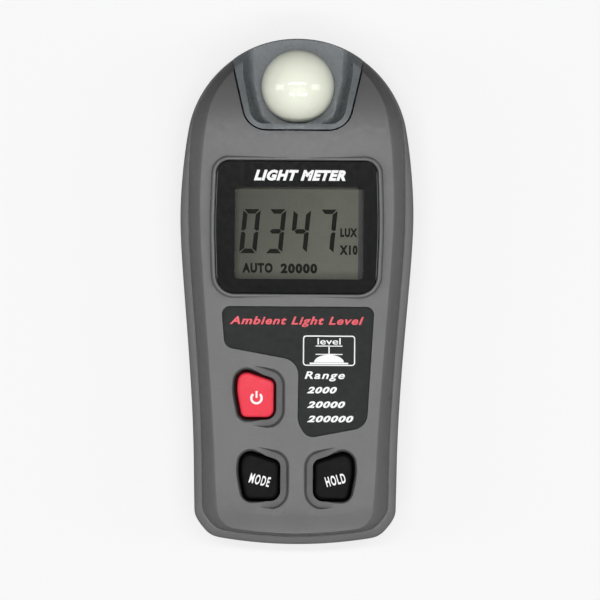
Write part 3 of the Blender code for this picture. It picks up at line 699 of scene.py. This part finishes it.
def make_front_shell():
    shell = make("front_shell_skin", loft(front_rings()), CASE)
    rim = spaced(rounded(list(WINDOW)), 2)
    frame_profile = (
        (RIM_WIDTH + 0.35, FACE_Z - 2.5),
        (RIM_WIDTH + 0.35, RIM_TOP - 1.2),
        (RIM_WIDTH + 0.05, RIM_TOP - 0.45),
        (RIM_WIDTH - 0.15, RIM_TOP - 0.15),
        (RIM_WIDTH - 0.4, RIM_TOP),
    )
    raised = loft([level(offset(rim, out), z) for out, z in frame_profile])
    steps = [("UNION", raised)]
    bosses = []
    seat = prism(offset(rim, RIM_WIDTH - 0.2), WINDOW_TOP - WINDOW_THICK - GAP - 0.7, FACE_Z + 3)
    bosses.append(("DIFFERENCE", seat))
    for x, y, _ in CASE_SCREWS.values():
        boss = turned(x, y, ((2.6, BOSS_SPLIT + GAP), (2.6, FACE_Z + 3)), 24)
        bosses.append(("DIFFERENCE", boss))
    for x in (-BOARD_SCREW_X, BOARD_SCREW_X):
        boss = turned(x, BOARD_SCREW_Y, ((2.1, BOARD_TOP + GAP), (2.1, FACE_Z + 3)), 24)
        bosses.append(("DIFFERENCE", boss))
    void = combine(make("void", front_void(), None), *bosses)
    steps.append(("DIFFERENCE", as_tool(void)))
    seat_z = WINDOW_TOP - WINDOW_THICK - GAP
    opening = (
        (-1.5, PART_Z),
        (-1.5, seat_z),
        (0.15, seat_z),
        (0.15, WINDOW_TOP - 0.35),
        (0.2, WINDOW_TOP - 0.1),
        (0.35, WINDOW_TOP + 0.08),
        (0.85, RIM_TOP + 0.3),
    )
    steps.append(("DIFFERENCE", loft([level(offset(rim, out), z) for out, z in opening])))
    notch = spaced(offset(cup_outline(), GAP), 1.2)
    lip = ((0, -9), (0, -0.35), (0.06, -0.16), (0.2, 0.0), (0.7, 0.4))
    rings = [on_face(offset(notch, grow), lift) for grow, lift in lip]
    for p in rings[0]:
        p.z = PART_Z - 1
    steps.append(("DIFFERENCE", loft(rings)))
    pocket = spaced(offset(rounded(list(LABEL)), 0.12), 1.5)
    lip = ((0, -LABEL_POCKET), (0, -0.12), (0.14, 0.04), (0.5, 0.4))
    inner = [on_face(scaled(pocket, size), -LABEL_POCKET) for size in (0.1, 0.4, 0.7)]
    rings = [on_face(offset(pocket, grow), lift) for grow, lift in lip]
    steps.append(("DIFFERENCE", loft([*inner, *rings])))
    for name in KEYS:
        steps.append(("DIFFERENCE", key_dish(name)))
        steps.append(("DIFFERENCE", key_well(name)))
    for x, y, _ in CASE_SCREWS.values():
        steps.append(("DIFFERENCE", turned(x, y, ((1.4, PART_Z - 4), (1.4, 18.5)), 16)))
    combine(shell, *steps, sharp=38)
    dishes = [lambda x, y, name=name: dish_z(name, x, y) for name in KEYS]
    true_normals(shell, [face_z, *dishes])
    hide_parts("front_shell")
    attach(shell, "case")


def scaled(outline, size):
    middle = sum(outline, Vector((0, 0))) / len(outline)
    return [middle + (p - middle) * size for p in outline]


# Rear shell and battery door


def rear_rings():
    rim, back, edge = case_outline(RIM), case_outline(BACK), case_outline(FRONT_EDGE)
    curve = (
        (1.0, 0.0),
        (0.8, 0.4),
        (0.62, 0.9),
        (0.45, 1.8),
        (0.3, 3.0),
        (0.17, 4.9),
        (0.08, 7.0),
        (0.02, 9.8),
        (0.0, RIM_Z),
    )
    rings = [level(between(rim, back, share), z) for share, z in curve]
    rings.append(level(between(rim, edge, 0.12), RIM_Z + 0.8))
    rings.append(level(between(rim, edge, 0.35), LIP_Z - 0.9))
    rings.append(level(between(rim, edge, 0.65), LIP_Z - 0.3))
    rings.append(level(between(rim, edge, 0.9), LIP_Z))
    rings.append(level(offset(edge, -1.6), LIP_Z))
    rings.append(level(offset(edge, -1.6), TONGUE_Z))
    return rings


def rear_void():
    rim, back, edge = case_outline(RIM), case_outline(BACK), case_outline(FRONT_EDGE)
    return loft(
        [
            level(offset(between(rim, back, 0.42), -2.2), FLOOR_Z),
            level(offset(between(rim, back, 0.12), -2.2), 6.5),
            level(offset(rim, -2.4), RIM_Z),
            level(offset(edge, -2.6), LIP_Z),
            level(offset(edge, -2.6), TONGUE_Z + 1),
        ]
    )


def as_tool(obj):
    """The bmesh of a finished object, back in millimetres, and the object removed."""
    bm = bmesh.new()
    bm.from_mesh(obj.data)
    bmesh.ops.scale(bm, verts=bm.verts, vec=(1 / MM,) * 3)
    bpy.data.meshes.remove(obj.data)
    return bm


def make_rear_shell():
    shell = make("rear_shell_skin", loft(rear_rings()), REAR_CASE)
    side = BAY_X + TRAY_WALL
    low, high = BAY_Y[0] - TRAY_WALL, BAY_Y[1] + TRAY_WALL
    inside = [
        ("DIFFERENCE", block(-21, 21, -80, DOOR_Y + 2.5, -1, DOOR_THICK + GAP + 2)),
        ("DIFFERENCE", block(-side, side, low, high, 0, BAY_TOP + 1)),
    ]
    for x, y, _ in CASE_SCREWS.values():
        inside.append(("DIFFERENCE", turned(x, y, ((3.2, 0), (3.2, BOSS_SPLIT)), 24)))
    void = combine(make("void", rear_void(), None), *inside)
    reach = DOOR_X + TONGUE[0] + GAP
    _, z0, z1 = TONGUE
    notch = prism(offset(cup_outline(), GAP), LIP_Z - 0.1, TONGUE_Z + 2)
    steps = [
        ("DIFFERENCE", as_tool(void)),
        ("DIFFERENCE", block(-BAY_X, BAY_X, *BAY_Y, -1, BAY_TOP)),
        ("DIFFERENCE", block(-DOOR_X - GAP, DOOR_X + GAP, -80, DOOR_Y + GAP, -1, DOOR_THICK + GAP)),
        ("DIFFERENCE", block(-reach, reach, -80, DOOR_Y + GAP, z0 - GAP, z1 + GAP)),
        ("DIFFERENCE", notch),
    ]
    for x, y, seat in CASE_SCREWS.values():
        bore = ((2.9, -1), (2.9, 0), (2.4, 0.5), (2.4, seat), (1.4, seat), (1.4, BOSS_SPLIT + 4))
        steps.append(("DIFFERENCE", turned(x, y, bore, 32)))
    combine(shell, *steps)
    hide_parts("rear_shell")
    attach(shell, "case")


GRIP_RIBS = 7
GRIP_Y = -8.0


def make_battery_door():
    """The sliding door, with a thumb recess of ribs and an arrow that points to the open end."""
    door = make("battery_door_skin", block(-DOOR_X, DOOR_X, -80, DOOR_Y, -1, DOOR_THICK), REAR_CASE)
    width, z0, z1 = TONGUE
    reach = DOOR_X + width
    steps = [
        ("UNION", block(-reach, reach, -55, DOOR_Y - 1, z0, z1)),
        ("INTERSECT", loft(rear_rings())),
    ]
    for i in range(GRIP_RIBS):
        y = GRIP_Y - 2.0 * i
        half = 8.5 - 0.35 * i
        ends = [(-half, y - 0.55, 0.5), (half, y - 0.55, 0.5), (half, y + 0.55, 0.5)]
        groove = rounded([*ends, (-half, y + 0.55, 0.5)], 20)
        profile = ((0.25, -0.5), (0.22, 0.02), (0.0, 0.3), (-0.2, 0.55))
        steps.append(("DIFFERENCE", loft([level(offset(groove, out), z) for out, z in profile])))
    tip = GRIP_Y - 2.0 * GRIP_RIBS - 6.0
    arrow = rounded([(-3, tip + 4, 0.4), (0, tip, 0.4), (3, tip + 4, 0.4)], 20)
    steps.append(("DIFFERENCE", prism(arrow, -0.5, 0.4)))
    combine(door, *steps)
    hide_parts("battery_door")
    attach(door, "door")


def make_case_screws():
    """Pan-head screws with a cross recess, down in the back's bores."""
    for name, (x, y, seat) in CASE_SCREWS.items():
        head = seat - GAP
        profile = (
            (0.9, head - 1.6),
            (1.4, head - 1.5),
            (1.8, head - 1.15),
            (2.0, head - 0.6),
            (2.0, head),
            (1.1, head),
            (1.1, 16.8),
            (0.4, 17.8),
        )
        screw = make(f"case_screw_{name}_skin", turned(x, y, profile, 40), STEEL)
        steps = []
        for half_x, half_y in ((1.15, 0.24), (0.24, 1.15)):
            slot = rectangle(x - half_x, x + half_x, y - half_y, y + half_y)
            shape = [level(slot, head - 2.2), level(slot, head - 1.3), level(scaled(slot, 0.5), head - 0.7)]
            steps.append(("DIFFERENCE", loft(shape)))
        combine(screw, *steps)
        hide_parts(f"case_screw_{name}")
        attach(screw, "case")


# Display


PLATE_SHARP = 12  # keeps a plate's flat top from shading as if it were curved


def plate(name, outline, holes, z0, z1, mat, edge=0.12):
    """A flat plate with a softened upper edge, and holes through it."""
    rings = [
        level(outline, z0),
        level(outline, z1 - edge),
        level(offset(outline, -edge * 0.3), z1 - edge * 0.3),
        level(offset(outline, -edge), z1),
    ]
    body = make(name, loft(rings), mat, PLATE_SHARP)
    steps = [("DIFFERENCE", prism(hole, z0 - 1, z1 + 1)) for hole in holes]
    return combine(body, *steps, sharp=PLATE_SHARP) if steps else body


def ride_case(piece, slot, *nodes):
    if nodes:
        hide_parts(*nodes)
    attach(piece, "case")


def box_outline(x0, x1, y0, y1, radius):
    return rounded([(x0, y0, radius), (x1, y0, radius), (x1, y1, radius), (x0, y1, radius)], 15)


APERTURE = (-17.1, 18.4, 3.4, 28.8)
LCD_TOP = 20.4


def make_display():
    aperture = box_outline(*APERTURE, 0.9)
    bottom = WINDOW_TOP - WINDOW_THICK
    window = rounded(list(WINDOW))
    ride_case(
        plate("display_window_print", window, [aperture], bottom, WINDOW_TOP, PRINT_BLACK, 0.2),
        "window_black",
        "display_window",
    )
    pane = offset(aperture, -0.02)
    ride_case(
        plate("display_window_pane", pane, [], WINDOW_TOP - 0.9, WINDOW_TOP - 0.02, CLEAR, 0.05),
        "window_black",
    )
    glass = box_outline(-19.8, 19.8, 1.0, 31.2, 0.3)
    ride_case(plate("lcd_glass_skin", glass, [], 18.4, LCD_TOP, LCD_GREY), "lcd_grey", "lcd_glass")
    # A dark sheet on the LCD, whose opening leaves it showing only along the right side of the aperture, as
    # painted shadow of the window frame.
    shadow_border = box_outline(-19.7, 19.7, 1.1, 31.1, 0.3)
    opening = box_outline(-17.7, 16.95, 2.7, 29.5, 1.1)
    ride_case(
        plate("lcd_shadow_border", shadow_border, [opening], LCD_TOP + 0.01, LCD_TOP + 0.16, DARK, 0.03),
        "dark_plastic",
    )


def segment_shapes(width, height, bar):
    """The seven segments of a digit, by letter, as polygons from its lower left corner."""
    half, gap = height / 2, 0.1
    reach = bar + gap
    shapes = {
        "a": ((0.3, height), (width - 0.3, height), (width - reach, height - bar), (reach, height - bar)),
        "d": ((0.3, 0), (reach, bar), (width - reach, bar), (width - 0.3, 0)),
        "g": (
            (reach, half + bar / 2),
            (width - reach, half + bar / 2),
            (width - bar * 0.6, half),
            (width - reach, half - bar / 2),
            (reach, half - bar / 2),
            (bar * 0.6, half),
        ),
        "f": (
            (0, height - 0.35),
            (bar, height - bar - gap),
            (bar, half + bar / 2),
            (bar * 0.5, half + gap),
            (0, half + 0.3),
        ),
    }
    shapes["e"] = tuple((x, height - y) for x, y in shapes["f"])
    shapes["b"] = tuple((width - x, y) for x, y in shapes["f"])
    shapes["c"] = tuple((width - x, y) for x, y in shapes["e"])
    return shapes


DIGITS = {"0": "abcdef", "3": "abcdg", "4": "bcfg", "7": "abc"}
DIGIT_MIDDLES = (-12.95, -5.85, 0.95, 8.3)
DIGIT_Y = (10.45, 22.7)
DIGIT_WIDTH = 4.85
DIGIT_LEFT = 2.43  # from the middle of a digit to its left edge
DIGIT_SLANT = 5.5  # degrees
SEGMENT_WIDTH = 1.32


def merged(parts):
    """One bmesh of several, in their order."""
    bm = bmesh.new()
    for part in parts:
        mesh = bpy.data.meshes.new("part")
        part.to_mesh(mesh)
        part.free()
        bm.from_mesh(mesh)
        bpy.data.meshes.remove(mesh)
    return bm


def make_segments():
    """The reading, as thin raised segments with a slight slant."""
    low, high = DIGIT_Y
    slant = math.tan(math.radians(DIGIT_SLANT))
    shapes = segment_shapes(DIGIT_WIDTH, high - low, SEGMENT_WIDTH)
    for place, (digit, middle) in enumerate(zip("0347", DIGIT_MIDDLES)):
        parts = []
        for letter in DIGITS[digit]:
            outline = [
                Vector((middle - DIGIT_LEFT + x + (y - (high - low) / 2) * slant, low + y))
                for x, y in shapes[letter]
            ]
            parts.append(prism(offset(outline, -0.03), LCD_TOP + 0.005, LCD_TOP + 0.05))
        ride_case(make(f"reading_digit_{place + 1}", merged(parts), SEGMENT), "lcd_grey")


# Printed marks


def raised(bm, lift, thick):
    """Presses a flat outline mesh, extruded from 0 to 1, onto the surface given by lift(x, y)."""
    for vert in bm.verts:
        low = lift(vert.co.x, vert.co.y)
        vert.co.z = low + thick * vert.co.z
    return bm


def words(name, text, centre, size, look, lift, body="case", slant=0.0, bold=0.0, turn=0.0, gap=1.0):
    """Printed words fitted into size = (width, height) in millimetres, about centre."""
    curve = bpy.data.curves.new(name, "FONT")
    curve.body = text
    curve.shear = slant
    curve.offset = bold
    curve.space_character = gap
    curve.extrude = 0.5
    curve.resolution_u = 4
    holder = bpy.data.objects.new(f"{name}_curve", curve)
    bpy.context.scene.collection.objects.link(holder)
    graph = bpy.context.evaluated_depsgraph_get()
    mesh = bpy.data.meshes.new_from_object(holder.evaluated_get(graph))
    bm = bmesh.new()
    bm.from_mesh(mesh)
    bpy.data.meshes.remove(mesh)
    bpy.data.curves.remove(curve)
    bmesh.ops.remove_doubles(bm, verts=bm.verts, dist=1e-5)
    low = Vector(min(v.co[i] for v in bm.verts) for i in range(2))
    high = Vector(max(v.co[i] for v in bm.verts) for i in range(2))
    cos, sin = math.cos(math.radians(turn)), math.sin(math.radians(turn))
    for vert in bm.verts:
        x = ((vert.co.x - low.x) / (high.x - low.x) - 0.5) * size[0]
        y = ((vert.co.y - low.y) / (high.y - low.y) - 0.5) * size[1]
        top = 1 if vert.co.z > 0 else 0
        vert.co = (centre[0] + x * cos - y * sin, centre[1] + x * sin + y * cos, top)
    piece = make(name, raised(bm, lift, 0.03), look)
    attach(piece, body)
    return piece


def stroke(points, width):
    """A band of that width along a chain of points, with square ends."""
    left, right = [], []
    for i, here in enumerate(points):
        before, after = points[max(0, i - 1)], points[min(len(points) - 1, i + 1)]
        way = (after - before).normalized() * (width / 2)
        left.append(here + Vector((-way.y, way.x)))
        right.append(here - Vector((-way.y, way.x)))
    return left + right[::-1]


def flat(outlines):
    """One bmesh of several separate flat plates from 0 to 1, from their outlines."""
    return merged([prism(spaced(outline, 0.7), 0, 1) for outline in outlines])


def annulus(outer, inner):
    """A closed flat ring from 0 to 1 between two outlines of equal count."""
    rows = [level(outer, 0), level(outer, 1), level(inner, 1), level(inner, 0)]
    bm = bmesh.new()
    rings = [[bm.verts.new(p) for p in row] for row in rows]
    for low, high in zip(rings, rings[1:] + rings[:1]):
        for i, vert in enumerate(low):
            j = (i + 1) % len(low)
            bm.faces.new((vert, low[j], high[j], high[i]))
    bmesh.ops.recalc_face_normals(bm, faces=bm.faces)
    return bm


def mark(name, bm, look, lift, body="case"):
    piece = make(name, raised(bm, lift, 0.05), look)
    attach(piece, body)


# Label


def label_lift(x, y):
    return face_z(x, y) + 0.02


def make_label():
    outline = spaced(rounded(list(LABEL)), 1.2)
    rings = [on_face(scaled(outline, size), -LABEL_THICK) for size in (0.05, 0.3, 0.55, 0.8)]
    rings += [on_face(outline, -LABEL_THICK), on_face(outline, -0.1)]
    rings += [on_face(offset(outline, -0.03), -0.03), on_face(offset(outline, -0.12), 0)]
    rings += [on_face(scaled(outline, size), 0) for size in (0.93, 0.8, 0.65, 0.5, 0.35, 0.2, 0.05)]
    ride_case(make("lower_label_skin", loft(rings), LABEL_BLACK), "label_black", "lower_label")
    words("label_title", "Ambient Light Level", (0.15, -8.35), (37, 2.9), RED_INK, label_lift,
          slant=0.3, bold=0.03, gap=1.15)
    box = box_outline(1.9, 16.3, -20.45, -12.1, 0.9)
    box = spaced(box, 0.8)
    mark("label_icon_frame", annulus(box, offset(box, -0.32)), WHITE_INK, label_lift)
    words(
        "label_icon_word", "level", (9.1, -13.7), (6.4, 1.75), WHITE_INK, label_lift, bold=0.01
    )
    dome = [Vector((9.1, -19.5)) + Vector((4.1 * math.cos(t), 2.1 * math.sin(t)))
            for t in (math.pi * i / 24 for i in range(25))]
    lines = [
        rectangle(5.4, 12.8, -15.12, -14.85),
        rectangle(5.4, 12.8, -17.42, -17.15),
        rectangle(8.93, 9.27, -17.1, -15.17),
        dome,
        rectangle(3.8, 14.4, -20.02, -19.56),
    ]
    mark("label_icon", flat(lines), WHITE_INK, label_lift)
    words("label_range", "Range", (7.95, -23.35), (11.1, 2.75), WHITE_INK, label_lift,
          slant=0.25, bold=0.025, gap=1.2)
    for text, x, y, width in (("2000", 7.2, -27.15, 8.3), ("20000", 8.4, -31.15, 10.5),
                              ("200000", 9.55, -35.1, 12.8)):
        words(f"label_range_{text}", text, (x, y), (width, 1.85), WHITE_INK, label_lift,
              slant=0.3, bold=0.045, gap=1.15)


def make_display_marks():
    def top(x, y):
        return WINDOW_TOP + 0.005

    def glass(x, y):
        return LCD_TOP + 0.01

    words("display_title", "LIGHT METER", (0.7, 32.0), (25.3, 3.0), WHITE_INK, top,
          slant=0.32, bold=0.06, gap=1.14)
    for text, name, x, y, size in (
        ("AUTO", "auto", -10.8, 6.45, (8.4, 2.75)),
        ("20000", "range", 0.65, 6.35, (10.1, 2.75)),
        ("LUX", "unit", 14.35, 16.3, (4.7, 2.45)),
        ("X10", "factor", 14.3, 11.5, (5.0, 2.7)),
    ):
        words(f"display_{name}", text, (x, y), size, SEGMENT, glass, bold=0.06, gap=1.2)


# Keys


def key_top(name, x, y):
    """The key's slightly domed top."""
    middle_x, middle_y, _ = KEYS[name]
    reach = ((x - middle_x) / 5.0) ** 2 + ((y - middle_y) / 7.2) ** 2
    return KEY_TOP - 0.22 * min(1.6, reach)


# How far in from the key's side, and how far below its top, the rounding of the top edge runs.
KEY_EDGE = ((0, 1.5), (0.03, 0.8), (0.1, 0.45), (0.22, 0.22), (0.4, 0.08), (0.65, 0.02), (0.95, 0))
KEY_SHADE_DEPTH = 0.75  # faces this far below the top have the darker copy of the key's colour, as painted shade


def make_keys():
    for name in KEYS:
        x, y, _ = KEYS[name]
        z0, z1 = KEY_FLANGE_Z
        rings = [
            level(spaced_key(name, KEY_FLANGE), z0),
            level(spaced_key(name, KEY_FLANGE), z1),
            level(spaced_key(name, -KEY_INSET), z1),
        ]
        for inset, drop in KEY_EDGE:
            ring = spaced_key(name, -KEY_INSET - inset)
            rings.append([Vector((p.x, p.y, key_top(name, p.x, p.y) - drop)) for p in ring])
        base = spaced_key(name, -KEY_INSET - KEY_EDGE[-1][0])
        for size in (0.8, 0.6, 0.4, 0.2, 0.03):
            ring = scaled(base, size)
            rings.append([Vector((p.x, p.y, key_top(name, p.x, p.y))) for p in ring])
        look = RED if name == "power" else KEY_BLACK
        key = make(f"{name}_key_skin", loft(rings), look)
        radius, bottom = KEY_STEM
        combine(key, ("UNION", turned(x, y, ((radius, bottom), (radius, z0 + 0.5)))))
        # The faces of the key's sides, down in its well, get the darker copy of its colour as painted
        # shade.
        key.data.materials.append(RED_KEY_SHADE if name == "power" else BLACK_KEY_SHADE)
        for face in key.data.polygons:
            face.material_index = 1 if face.center.z < (KEY_TOP - KEY_SHADE_DEPTH) * MM else 0
        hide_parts(f"{name}_key")
        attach(key, f"{name}_key")
    words("mode_legend", "MODE", (-9.75, -52.0), (5.8, 2.8), WHITE_INK,
          lambda x, y: key_top("mode", x, y) + 0.01, "mode_key", 0.12, 0.025, -13, 1.25)
    words("hold_legend", "HOLD", (11.05, -51.9), (5.6, 2.8), WHITE_INK,
          lambda x, y: key_top("hold", x, y) + 0.01, "hold_key", -0.12, 0.03, 13, 1.25)
    centre = Vector((-10.8, -29.45))
    arc = [centre + 1.42 * Vector((math.sin(t), math.cos(t)))
           for t in (math.radians(42 + 276 * i / 30) for i in range(31))]
    bar = rectangle(centre.x - 0.26, centre.x + 0.26, centre.y + 0.1, centre.y + 1.95)
    mark("power_legend", flat([stroke(arc, 0.62), bar]), WHITE_INK,
         lambda x, y: key_top("power", x, y) + 0.01, "power_key")


# Sensor


# The trough's side: how far in it is, and its height over the floor.
CUP_FILLET = (
    (5.9, 0.0),
    (5.2, 0.08),
    (4.5, 0.3),
    (3.9, 0.75),
    (3.4, 1.4),
    (2.9, 2.4),
    (2.4, 3.7),
    (1.9, 5.4),
    (1.35, 8.2),
)


def make_sensor_cup():
    """The open trough: filleted walls, and a floor that rolls over at the top end."""
    shape = spaced(cup_outline(), 1.2)
    cup = make("sensor_cup_skin", prism(shape, CUP_FLOOR[0], FACE_Z + 4), CUP_GREY)
    roll = loft(front_rings(CUP_PROUD, CUP_PROUD))
    rings = []
    floor = CUP_FLOOR[1]
    for side, z in CUP_FILLET:
        rings.append(level(cup_inside(side), floor + z))
    socket = turned(*DOME_XY, ((DOME_R, CUP_SOCKET_Z), (DOME_R, floor - 0.3)), 64)
    bore = DOME_NECK[0] + GAP
    combine(
        cup,
        ("INTERSECT", roll),
        ("DIFFERENCE", loft(rings)),
        ("UNION", socket),
        ("DIFFERENCE", turned(*DOME_XY, ((bore, 5), (bore, floor + 1)), 64)),
        sharp=40,
    )
    ride_case(cup, "cup_grey", "sensor_cup")


def make_dome():
    neck, low = DOME_NECK
    seat = CUP_FLOOR[1] + GAP
    hollow = DOME_R - DOME_WALL
    outside = [(neck, low), (neck, seat)]
    inside = [(neck - DOME_WALL, low - 1), (neck - DOME_WALL, seat + DOME_WALL)]
    foot = math.degrees(math.asin((seat - DOME_Z) / DOME_R))
    for degrees in (foot, *range(0, 88, 4), 88.5):
        turn = math.radians(degrees)
        outside.append((DOME_R * math.cos(turn), DOME_Z + DOME_R * math.sin(turn)))
        if degrees >= 0:
            inside.append((hollow * math.cos(turn), DOME_Z + hollow * math.sin(turn)))
    dome = make("diffuser_dome_skin", turned(*DOME_XY, outside, 96), OPAL, 50)
    combine(dome, ("DIFFERENCE", turned(*DOME_XY, inside, 96)), sharp=50)
    ride_case(dome, "diffuser_white", "diffuser_dome")


# Everything under the covers keeps its CAD shape and gets its finish here.

INNER = {
    "lcd_holder": DARK,
    "lcd_reflector": WHITE_PLASTIC,
    "zebra_strip_lower": CARBON,
    "zebra_strip_upper": CARBON,
    "dome_seal": SILICONE,
    "colour_filter": FILTER,
    "photodiode": NICKEL,
    "sensor_board": BOARD,
    "sensor_wire_signal": WIRE_WHITE,
    "sensor_wire_ground": WIRE_BLACK,
    "main_board": BOARD,
    "microcontroller": CHIP,
    "op_amp": CHIP,
    "crystal": NICKEL,
    "trimmer": TRIMMER,
    "capacitor": CHIP,
    "board_screw_left": STEEL,
    "board_screw_right": STEEL,
    "keypad_sheet": SILICONE,
    "battery_cell_left": CELL_BLACK,
    "battery_cell_middle": CELL_BLACK,
    "battery_cell_right": CELL_BLACK,
    "contact_positive": NICKEL,
    "contact_negative": NICKEL,
    "contact_upper_link": NICKEL,
    "contact_lower_link": NICKEL,
    "spring_left": NICKEL,
    "spring_middle": NICKEL,
    "spring_right": NICKEL,
    "battery_wire_red": WIRE_RED,
    "battery_wire_black": WIRE_BLACK,
}
for key_name in KEYS:
    INNER[f"{key_name}_web"] = SILICONE
    INNER[f"{key_name}_pill"] = CARBON


def finish_inner_nodes():
    for name, look in INNER.items():
        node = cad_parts[name]
        node.data.materials.clear()
        node.data.materials.append(look)


# Stage


PHOTO_SCALE = 0.2761  # millimetres of the object to a picture element
CAMERA_HEIGHT = 2.0
CAMERA_ROLL = 0.38
CENTRE = (1.0, -2.35)
AIM_Z = 20.0


def make_stage():
    floor = bpy.data.objects.new("floor", bpy.data.meshes.new("floor"))
    half = 3.0
    corners = ((-half, -half, 0), (half, -half, 0), (half, half, 0), (-half, half, 0))
    floor.data.from_pydata(corners, [], [(0, 1, 2, 3)])
    mat = bpy.data.materials.new("floor")
    mat.use_nodes = True
    nodes, link = mat.node_tree.nodes, mat.node_tree.links.new
    shader = nodes["Principled BSDF"]
    shader.inputs["Base Color"].default_value = (0.2, 0.2, 0.2, 1)
    shader.inputs["Roughness"].default_value = 0.9
    shader.inputs["Specular IOR Level"].default_value = 0.1
    shader.inputs["Emission Color"].default_value = (1, 1, 1, 1)
    path = nodes.new("ShaderNodeLightPath")
    glow = ranged_node(nodes, 0, 1, 0.08, 0.73)
    link(path.outputs["Is Camera Ray"], glow.inputs["Value"])
    link(glow.outputs["Result"], shader.inputs["Emission Strength"])
    floor.data.materials.append(mat)
    bpy.context.scene.collection.objects.link(floor)


def area_light(name, place, aim, size, watts):
    light = bpy.data.lights.new(name, "AREA")
    light.shape = "RECTANGLE"
    light.size, light.size_y = size
    light.energy = watts
    obj = bpy.data.objects.new(name, light)
    obj.location = place
    obj.rotation_euler = (Vector(aim) - Vector(place)).to_track_quat("-Z", "Y").to_euler()
    bpy.context.scene.collection.objects.link(obj)


def make_lights_and_camera():
    scene = bpy.context.scene
    scene.view_settings.view_transform = "Standard"
    world = bpy.data.worlds.new("studio")
    world.use_nodes = True
    world.node_tree.nodes["Background"].inputs["Color"].default_value = (0.05, 0.051, 0.053, 1)
    scene.world = world
    area_light("strip", (0, 0.35, 2.1), (0, 0, 0), (2.1, 0.17), 24)
    area_light("low", (0, -0.78, 2.1), (0, 0, 0), (2.2, 1.1), 13)
    for side in (-1, 1):
        area_light(f"side_{side}", (1.5 * side, 0, 0.9), (0, 0, 0), (0.5, 0.9), 5.5)
    for name, x in (("left", -0.64), ("middle", 0.26), ("right", 1.15)):
        area_light(f"spot_{name}", (x, -1.0, 2.0), (0, 0, 0), (0.4, 0.22), 3.6)
    camera = bpy.data.cameras.new("camera")
    camera.sensor_width = 36
    camera.lens = 36 * (CAMERA_HEIGHT - AIM_Z * MM) / (600 * PHOTO_SCALE * MM)
    camera.clip_start, camera.clip_end = 0.05, 20
    obj = bpy.data.objects.new("camera", camera)
    obj.location = (CENTRE[0] * MM, CENTRE[1] * MM, CAMERA_HEIGHT)
    obj.rotation_euler = (0, 0, math.radians(CAMERA_ROLL))
    scene.collection.objects.link(obj)
    scene.camera = obj


make_lights_and_camera()
make_stage()
make_front_shell()
make_rear_shell()
make_battery_door()
make_case_screws()
make_display()
make_segments()
make_display_marks()
make_label()
make_keys()
make_sensor_cup()
make_dome()
finish_inner_nodes()
